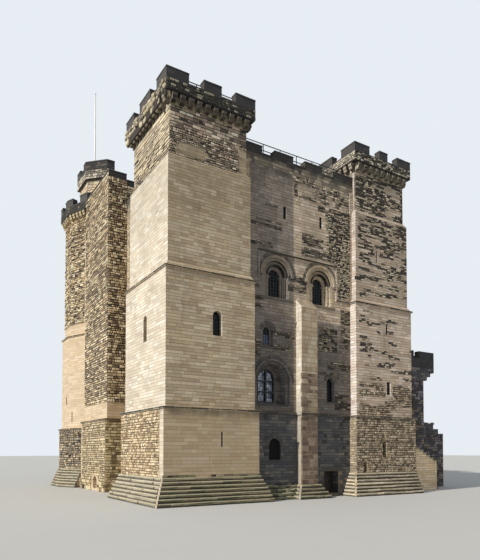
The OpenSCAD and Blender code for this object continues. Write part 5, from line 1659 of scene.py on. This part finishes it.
@dataclass
class WindowDressing:
    """Wedge stones, sills, bars and dark leaded panes of the small windows, and painted-shade boards in the
    slits.
    """

    pitch: float = 0.2
    upright: float = 0.012
    level: float = 0.010

    def glaze(self, panes: Mason, bars: Mason, window: Opening) -> None:
        """Sets a pane and a grid of bars deep in one window."""
        face, middle, half, deep = window.face, window.u, window.width / 2, window.reveal
        spring = window.top - half
        panes.slab(face, window.span, (window.sill, window.top), -deep - 0.04, deep + 0.06)
        count = max(1, round(window.width / self.pitch) - 1)
        for k in range(1, count + 1):
            u = middle - half + k * window.width / (count + 1)
            rise = half_chord(half, u - middle)
            bars.slab(face, around(u, self.upright), (window.sill, spring + rise), -deep, deep + 0.024)
        v = window.sill + self.pitch
        while v < window.top - 0.08:
            reach = half if v < spring else half_chord(half, v - spring)
            bars.slab(face, around(middle, reach), around(v, self.level), -deep + 0.01, deep + 0.01)
            v += self.pitch

    def build(self) -> None:
        """Makes the stones, sills, bars, panes, and the boards of painted shade in the slits."""
        stones, bars, panes, pale, boards = (Mason(seed) for seed in range(41, 46))
        for window in OPENINGS:
            half, (left, right) = window.width / 2, window.span
            if window.ring:
                spring = (window.u, window.top - half)
                stones.ring(window.face, spring, (half + 0.01, half + 0.24), 0.02, window.ring)
                sill = (window.sill - 0.13, window.sill - 0.01)
                stones.slab(window.face, (left - 0.12, right + 0.12), sill, 0.035)
            if window.bars:
                self.glaze(pale if window.pale else panes, bars, window)
            LOG.info("window %s dressed", window.name)
        for slit in SLITS:
            boards.slab(slit.face, slit.span, (slit.sill, slit.top), -slit.reveal, slit.reveal + 0.03)
            LOG.info("slit %s closed", slit.name)
        boards.finish("slit_shade_boards", SLIT_SHADE_BOARD, Slot.OAK)
        stones.soften(0.012).weather(0.2, 0.006).finish("window_arch_stones", WINDOW_STONE, Slot.ASHLAR)
        bars.finish("window_bars", IRON, Slot.IRON)
        panes.finish("small_window_panes", DARK_GLASS, Slot.GLASS)
        pale.finish("pale_window_panes", PALE_GLASS, Slot.GLASS)


CAPITAL = (
    (0.0, 0.0), (0.066, 0.0), (0.075, 0.03), (0.066, 0.05), (0.095, 0.13), (0.105, 0.17), (0.0, 0.17)
)
SHAFT_FOOT = (
    (0.0, 0.0), (0.105, 0.0), (0.105, 0.05), (0.085, 0.08), (0.088, 0.11), (0.064, 0.14), (0.0, 0.14)
)


@dataclass
class HallWindows:
    """Capitals, bases, bars, wedge stones and painted-shade strips of the two moulded hall windows."""

    middles: Point = (7.60, 11.05)
    spring: float = 13.66
    sill: float = HALL_SILL
    radius: float = 1.14
    order_rise: float = 0.235
    order_depth: float = 0.15
    bar_reach: float = 0.43

    @staticmethod
    def turned(mason: Mason, spot: Vector, profile: Sequence[Point]) -> None:
        """Turns a profile round an upright axis.

        Args:
            mason: The mason.
            spot: Foot of the axis.
            profile: Radius and height of each point of the profile.
        """
        corners = [mason.bm.verts.new(spot + Vector((r, 0.0, h))) for r, h in profile]
        edges = [mason.bm.edges.new(pair) for pair in zip(corners, corners[1:])]
        bmesh.ops.spin(
            mason.bm, geom=corners + edges, cent=spot, axis=(0, 0, 1), angle=math.tau, steps=12,
            use_merge=True,
        )

    def carve(self, carved: Mason, x: float) -> None:
        """Turns the capitals and bases of the jamb shafts."""
        for k in (1, 2):
            inner = self.radius - k * self.order_rise
            for side in (-1, 1):
                spot = (x + side * (inner - 0.03), WALL_Y + k * self.order_depth - 0.03)
                self.turned(carved, place(*spot, self.spring - 0.13 - 0.17), CAPITAL)
                self.turned(carved, place(*spot, self.sill + 0.002), SHAFT_FOOT)

    def bar(self, iron: Mason, u: float) -> None:
        """Sets the iron grid."""
        for k in (-1, 0, 1):
            top = self.spring + 0.40 - abs(k) * 0.06
            iron.slab(SOUTH_WALL, around(u + k * 0.22, 0.015), (self.sill, top), -0.36, 0.39)
        for k in range(8):
            v = self.sill + 0.2 + k * 0.2
            reach = self.bar_reach if v < self.spring else half_chord(self.bar_reach, v - self.spring)
            iron.slab(SOUTH_WALL, around(u, reach), around(v, 0.012), -0.37, 0.39)

    def shade(self, shade_strips: Mason, u: float) -> None:
        """Lays dark strips of painted shade between the orders, round the outer one and under its springing.
        """
        spring = (u, self.spring)
        for k in (1, 2):
            edge, deep = self.radius - k * self.order_rise, k * self.order_depth
            shade_strips.ring(SOUTH_WALL, spring, (edge - 0.035, edge + 0.02), 0.012 - deep, 28, back=0.05)
            for side in (-1, 1):
                span = sorted((u + side * (edge - 0.10), u + side * (edge - 0.13)))
                jamb = (self.sill + 0.01, self.spring - 0.14)
                shade_strips.slab(SOUTH_WALL, span, jamb, 0.006 - deep, deep + 0.02)
        shade_strips.ring(SOUTH_WALL, spring, (self.radius + 0.10, self.radius + 0.135), 0.014, 30)
        for side in (-1, 1):
            span = sorted((u + side * (self.radius - 0.02), u + side * (self.radius + 0.15)))
            shade_strips.slab(SOUTH_WALL, span, (self.spring - 0.155, self.spring - 0.125), 0.062)

    def build(self) -> None:
        """Makes the capitals and bases, the iron bars, the outer wedge stones and the painted-shade strips.
        """
        carved, iron, wedges, shade_strips = (Mason(seed) for seed in range(51, 55))
        for x in self.middles:
            u = x - WEST_LINE
            self.carve(carved, x)
            radii = (self.radius + 0.105, self.radius + 0.33)
            wedges.ring(SOUTH_WALL, (u, self.spring), radii, 0.012, 17)
            wedges.slab(SOUTH_WALL, around(u, 1.22), (self.sill - 0.15, self.sill - 0.01), 0.05)
            self.bar(iron, u)
            self.shade(shade_strips, u)
        shade_strips.finish("hall_window_shade_strips", SHADE_STRIP, Slot.ASHLAR)
        carved.finish("hall_window_capitals", MOULDING, Slot.ASHLAR)
        iron.finish("hall_window_bars", IRON, Slot.IRON)
        wedges.soften(0.012).finish("hall_window_wedge_stones", WINDOW_STONE, Slot.ASHLAR)


@dataclass
class GreatWindow:
    """Relieving arch, rubble fill and leading of the large lower window."""

    middle: float = 7.285
    arch_top: float = 8.385
    arch_width: float = 2.52
    light: tuple[float, float, float, float] = (6.56, 7.85, 5.88, 7.95)
    pitch: float = 0.17
    columns: int = 8
    lead: float = 0.006
    back: Face = Face((WEST_LINE, 1.2), (EAST_LINE, 1.2))

    def arch(self) -> None:
        """Makes the two rings of wedge stones and the sill."""
        u, radius = self.middle - WEST_LINE, self.arch_width / 2
        spring = (u, self.arch_top - radius)
        stones = Mason(61)
        stones.ring(SOUTH_WALL, spring, (radius - 0.2, radius - 0.005), -0.01, 21, back=0.16)
        stones.ring(SOUTH_WALL, spring, (radius + 0.105, radius + 0.36), 0.012, 23)
        stones.slab(SOUTH_WALL, (u - radius + 0.15, u + radius - 0.15), (5.62, 5.74), 0.03, 0.6)
        stones.soften(0.014).weather(0.2, 0.008)
        stones.finish("great_window_arch_stones", WINDOW_STONE, Slot.ASHLAR)

    def fill(self) -> None:
        """Makes the rubble beside the light."""
        stones, beds = Mason(62), Mason(62)
        free = tuple((left, right, 5.0, 9.0) for left, right in ((0.0, 0.6), (0.88, 2.27), (2.74, 8.0)))
        face = RubbleFace(self.back, (5.70, 8.15), 0.18, 0.34, (0.03, 0.12), holes=free, bed_out=0.02)
        face.lay(stones, beds)
        stones.slab(self.back, (2.30, 2.62), (6.65, 7.15), 0.10)
        stones.soften(0.016).weather(0.13, 0.01).finish("great_window_fill_stones", WINDOW_STONE, Slot.RUBBLE)
        beds.finish("great_window_fill_beds", BEDDING, Slot.RUBBLE)

    def leading(self) -> None:
        """Makes the leads of the light."""
        leads = Mason(63)
        x0, x1, z0, z1 = self.light
        half, middle = (x1 - x0) / 2, (x0 + x1) / 2
        v = z0 + self.pitch
        while v < z1 - 0.05:
            reach = half if v < z1 - half else half_chord(half, v - z1 + half)
            leads.slab(self.back, around(middle - WEST_LINE, reach), around(v, self.lead), -0.135, 0.145)
            v += self.pitch
        for k in range(1, self.columns):
            x = x0 + k * (x1 - x0) / self.columns
            top = z1 - half + half_chord(half, x - middle)
            leads.slab(self.back, around(x - WEST_LINE, self.lead), (z0, top), -0.135, 0.145)
        leads.finish("great_window_leads", IRON, Slot.GLASS)

    def build(self) -> None:
        """Makes the arch, the fill and the leads."""
        self.arch()
        self.fill()
        self.leading()


@dataclass
class GroundDoor:
    """Boards, ledges, studs and ring of the hinged ground door, and the stones round it."""

    left: float = 11.225
    right: float = 12.355
    front: float = 1.05
    foot: float = 0.225
    top: float = 1.595
    boards: int = 6
    gap: float = 0.0015

    def leaf(self, face: Face, width: float) -> None:
        """Makes the boards, with three ledges on the back."""
        boards = Mason(71)
        for k in range(self.boards):
            span = (k * width + self.gap, (k + 1) * width - self.gap)
            boards.slab(face, span, (self.foot, self.top), -0.002, 0.048)
        for level in (self.foot + 0.10, (self.foot + self.top) / 2, self.top - 0.22):
            boards.slab(face, (0.05, face.length - 0.02), (level, level + 0.12), -0.046, 0.068)
        boards.soften(0.004).finish("door_boards", OAK, Slot.OAK, Body.DOOR, ("door_leaf",))

    def metal(self, face: Face, width: float) -> None:
        """Makes the studs, the plate and the ring."""
        studs, foot, top = Mason(72), self.foot, self.top
        turn = Matrix.Rotation(math.pi / 2, 4, "X") @ Matrix.Translation((0, 0, 0.001))
        for k in range(self.boards):
            for level in (foot + 0.13, foot + 0.19, (foot + top) / 2 + 0.03, top - 0.19, top - 0.13):
                bmesh.ops.create_cone(
                    studs.bm, cap_ends=True, segments=8, radius1=0.011, radius2=0.003, depth=0.008,
                    matrix=face.at((k + 0.5) * width, level, 0.0) @ turn,
                )
        studs.slab(face, (0.86, 1.0), (0.90, 1.04), 0.002, 0.002)
        centre, radius, count = face.at(0.93, 0.93, 0.012), 0.045, 12
        turns = [k * math.tau / count for k in range(count)]
        ring = [centre @ Vector((radius * math.cos(a), 0.0, radius * math.sin(a) - 0.03)) for a in turns]
        for a, b in zip(ring, ring[1:] + ring[:1]):
            studs.rod(a, b, 0.006, 6)
        studs.finish("door_nails_and_ring", IRON, Slot.IRON, Body.DOOR)

    @staticmethod
    def doorway() -> None:
        """Makes the lintel and the jambs of long and short stones."""
        stones, wall = Mason(73), Face((11.2, WALL_BASE_Y), (12.38, WALL_BASE_Y))
        stones.slab(wall, (-0.25, 1.43), (1.625, 1.90), 0.015)
        for k in range(5):
            foot, wide = 0.2 + k * 0.285, 0.22 if k % 2 else 0.36
            stones.slab(wall, (-wide, -0.006), (foot, foot + 0.27), 0.012)
            stones.slab(wall, (1.186, 1.18 + wide), (foot, foot + 0.27), 0.012)
        stones.soften(0.014).weather(0.2, 0.006).finish("doorway_stones", WINDOW_STONE, Slot.BASE)

    def build(self) -> None:
        """Makes the boarded leaf, its metal, and the stones round the doorway."""
        face = Face((self.left, self.front), (self.right, self.front))
        width = face.length / self.boards
        self.leaf(face, width)
        self.metal(face, width)
        self.doorway()


@dataclass
class LeadRoof:
    """Rolls of the lead roof between the wall walks."""

    x: Point = (WEST_LINE, EAST_LINE)
    y: Point = (5.40, NORTH_LINE)
    eaves: float = WALK
    rise: float = 0.5
    pitch: float = 0.75

    def build(self) -> None:
        """Makes the rolls on both slopes and along the ridge."""
        mason = Mason(81)
        ridge = (self.x[0] + self.x[1]) / 2
        y = self.y[0] + 0.3
        while y < self.y[1] - 0.2:
            for edge in self.x:
                low, high = self.eaves + 0.012, self.eaves + self.rise + 0.012
                mason.rod(place(edge, y, low), place(ridge, y, high), 0.03, 8)
            y += self.pitch
        top = self.eaves + self.rise + 0.015
        mason.rod(place(ridge, self.y[0], top), place(ridge, self.y[1], top), 0.045, 10)
        mason.finish("roof_lead_rolls", LEAD, Slot.LEAD)


@dataclass
class FlagTurretWork:
    """Wall stones, cap and pole fittings of the flag turret, whose south-west corner is cut back."""

    plan: tuple[float, float, float, float] = (1.23, 18.0, 2.89, 21.63)
    cut: float = 1.29
    ring: float = 0.2
    foot: float = 22.83
    crown: float = 25.93
    top: float = 27.50
    crenel: Point = (19.857, 20.857)
    pole: Point = (2.03, 20.0)

    def sides(self, grow: float) -> list[Face]:
        """The five faces of the turret, moved out by a distance."""
        x0, y0, x1, y1 = self.plan
        x0, y0, x1, y1 = x0 - grow, y0 - grow, x1 + grow, y1 + grow
        cut = self.cut + grow * (2 - math.sqrt(2))
        corners = ((x0, y1), (x0, y0 + cut), (x0 + cut, y0), (x1, y0), (x1, y1), (x0, y1))
        return [Face(a, b) for a, b in zip(corners, corners[1:])]

    def rubble(self) -> None:
        """Makes the stones of the shaft and the speckled cap."""
        stones, beds = Mason(91), Mason(91)
        for face in self.sides(0.0):
            RubbleFace(face, (self.foot, self.crown - 0.33), 0.18, 0.34, (0.006, 0.04)).lay(stones, beds)
        stones.soften(0.016).weather(0.13, 0.008).finish("flag_turret_stones", FLAG_RUBBLE, Slot.RUBBLE)
        beds.finish("flag_turret_beds", BEDDING, Slot.RUBBLE)
        stones, beds, cover = Mason(94), Mason(94), in_runs(2.0, 0.72, 1.6)
        for face in self.sides(self.ring):
            RubbleFace(face, (26.00, 26.75), 0.2, 0.32, (0.004, 0.03), cover).lay(stones, beds)
        stones.soften(0.014).weather(0.13, 0.006).finish("flag_turret_cap_stones", BAND_STONE, Slot.SOOT)
        beds.finish("flag_turret_cap_beds", BEDDING, Slot.SOOT)

    def coping(self) -> None:
        """Caps the parapet's sides, and the sills of its two crenels."""
        caps = Mason(92)
        for face in self.sides(self.ring):
            end = face.length - 0.004
            parts = [(0.004, end)]
            upright = abs(face.left[0] - face.right[0]) < 1e-6
            if upright and max(face.left[1], face.right[1]) > self.crenel[1]:
                low, high = sorted(abs(face.left[1] - y) for y in self.crenel)
                parts = [(0.004, low - 0.02), (high + 0.02, end)]
                caps.slab(face, (low + 0.004, high - 0.004), (26.99, 27.09), 0.02, 0.31)
            for part in parts:
                caps.slab(face, part, (self.top - 0.1, self.top + 0.006), 0.02, 0.31)
        caps.soften(0.015, 2).finish("flag_turret_coping", COPING, Slot.SOOT)

    def fittings(self) -> None:
        """Makes the pole's foot and its truck."""
        fittings, foot, truck = Mason(93), place(*self.pole, 26.435), place(*self.pole, 34.16)
        for spot, radius, low, high, sides in (
            (foot, 0.20, 0.0, 0.05, 20), (foot, 0.11, 0.05, 0.16, 20), (truck, 0.075, 0.0, 0.05, 16),
        ):
            fittings.rod(spot + Vector((0, 0, low)), spot + Vector((0, 0, high)), radius, sides)
        fittings.soften(0.006).finish("flagpole_fittings", PAINT, Slot.PAINT)

    def build(self) -> None:
        """Makes the wall stones, the cap, the coping and the pole's fittings."""
        self.rubble()
        self.coping()
        self.fittings()


@dataclass
class StairWork:
    """Wedge stones of the gate, copings of the flank wall and the broken stub's loose top."""

    flank: Point = (20.71, 23.01)
    flank_y: float = 1.425
    flank_top: float = 3.2
    flank_fall: float = 1.14
    copings: int = 6

    def gate(self) -> None:
        """Makes the arch of the gate."""
        stones = Mason(101)
        stones.ring(Face((19.17, GATE_Y), (GATE_EAST, GATE_Y)), (1.71, 6.28), (1.13, 1.42), 0.015, 15)
        stones.soften(0.014).weather(0.2, 0.008).finish("gate_arch_stones", DARK_RUBBLE, Slot.RUBBLE)

    def caps(self) -> None:
        """Makes the copings, which fall with the stair."""
        caps, world, (x, end) = Mason(102), Matrix.Identity(4), self.flank
        for k in range(self.copings):
            u0, u1 = x + k * (end - x) / self.copings, x + (k + 1) * (end - x) / self.copings
            high = self.flank_top - (u0 - x) / (end - x) * self.flank_fall
            caps.block(world, (u1 - u0 + 0.02, 0.50, 0.12), place((u0 + u1) / 2, self.flank_y, high - 0.06))
        caps.block(world, (0.97, 0.50, 0.12), place(20.235, self.flank_y, self.flank_top))
        caps.soften(0.012, 2).finish("flank_wall_copings", STEP_STONE_LOOSE, Slot.ASHLAR)

    def stub(self) -> None:
        """Makes the loose stones on the broken wall."""
        rocks = Mason(103)
        rng = rocks.rng
        for low_x, top in ((24.3, 5.2), (25.0, 5.2), (25.6, 4.75), (26.1, 4.3)):
            for _ in range(7):
                spot = place(low_x + rng.uniform(0, 0.55), 3.5 + rng.uniform(0.0, 0.9), top)
                size = rng.uniform(0.10, 0.20)
                turn = Matrix.Rotation(rng.uniform(0, 3), 4, "Z")
                rocks.block(Matrix.Translation(spot) @ turn, (size * 1.6, size * 1.2, size))
        rocks.soften(0.03, 2).weather(0.12, 0.02).finish("broken_wall_stones", DARK_RUBBLE, Slot.RUBBLE)

    def build(self) -> None:
        """Makes the stonework of the outer stair."""
        self.gate()
        self.caps()
        self.stub()


# ---------------------------------------------------------------- studio
@dataclass
class Studio:
    """Camera, floor, backdrop and lights."""

    eye: tuple[float, float, float] = (-20.996, -37.920, 2.84)
    yaw: float = 31.57
    pitch: float = 1.72
    lens: float = 34.84
    sensor: float = 36.0
    reach: float = 900.0
    shift: Point = (0.0, 0.2784)
    floor_half: float = 400.0
    sun_from: tuple[float, float, float] = (-0.8627, -0.1443, 0.4848)
    sun_strength: float = 3.6
    sun_angle: float = 0.012
    sun_colour: Colour = (1.0, 0.95, 0.87)
    sky_light: tuple[Colour, float] = ((0.88, 0.93, 1.0), 0.43)
    backdrop: tuple[Colour, float] = ((0.80, 0.85, 0.90), 1.0)

    def camera(self) -> None:
        """Makes the camera, matched to the photograph."""
        data = bpy.data.cameras.new("camera")
        data.sensor_fit, data.sensor_height, data.sensor_width = "VERTICAL", self.sensor, self.sensor
        data.lens, data.clip_end = self.lens, self.reach
        data.shift_x, data.shift_y = self.shift
        camera = new_object("camera", data)
        camera.location = self.eye
        camera.rotation_euler = (math.radians(90 + self.pitch), 0.0, math.radians(-self.yaw))
        bpy.context.scene.camera = camera

    def floor(self) -> None:
        """Makes the floor, just under the model's foot."""
        grid = bmesh.new()
        bmesh.ops.create_grid(grid, x_segments=1, y_segments=1, size=self.floor_half)
        bmesh.ops.translate(grid, verts=grid.verts[:], vec=(0, 0, -0.002))
        mesh = bpy.data.meshes.new("studio_floor")
        grid.to_mesh(mesh)
        grid.free()
        mesh.materials.append(STUDIO_FLOOR.material())
        new_object("studio_floor", mesh)

    def sun(self) -> None:
        """Makes the key light."""
        data = bpy.data.lights.new("key_light", "SUN")
        data.energy, data.angle, data.color = self.sun_strength, self.sun_angle, self.sun_colour
        key = new_object("key_light", data)
        key.rotation_euler = Vector(self.sun_from).to_track_quat("Z", "Y").to_euler()

    def sky(self) -> None:
        """Lights the object evenly, and shows a pale backdrop to the camera and in reflections."""
        world = bpy.data.worlds.new("studio_sky")
        bpy.context.scene.world = world
        world.use_nodes = True
        nodes, links = world.node_tree.nodes, world.node_tree.links
        nodes.clear()
        path = nodes.new("ShaderNodeLightPath")
        seen = path.outputs["Is Camera Ray"]
        for ray in ("Is Glossy Ray", "Is Transmission Ray"):
            either = nodes.new("ShaderNodeMath")
            either.operation = "MAXIMUM"
            links.new(seen, either.inputs[0])
            links.new(path.outputs[ray], either.inputs[1])
            seen = either.outputs[0]
        mix = nodes.new("ShaderNodeMixShader")
        links.new(seen, mix.inputs["Fac"])
        for number, (colour, strength) in enumerate((self.sky_light, self.backdrop), 1):
            background = nodes.new("ShaderNodeBackground")
            background.inputs["Color"].default_value = (*colour, 1.0)
            background.inputs["Strength"].default_value = strength
            links.new(background.outputs[0], mix.inputs[number])
        links.new(mix.outputs[0], nodes.new("ShaderNodeOutputWorld").inputs["Surface"])

    def build(self) -> None:
        """Makes the camera, the floor, the key light and the sky."""
        self.camera()
        self.floor()
        self.sun()
        self.sky()
        bpy.context.scene.view_settings.view_transform = "Standard"


def main() -> None:
    """Builds and dresses the keep, piece by piece."""
    logging.basicConfig(level=logging.INFO, format="%(name)s: %(message)s")
    noise.seed_set(WEAR_SEED)
    Studio().build()
    dress_nodes()
    works = (
        Plinths(), StringCourses(), Battlements(), *parapet_works(), *west_works(), *south_works(),
        *hidden_works(), WindowDressing(), HallWindows(), GreatWindow(), GroundDoor(), LeadRoof(),
        FlagTurretWork(), StairWork(),
    )
    for work in works:
        work.build()


if __name__ == "__main__":
    main()
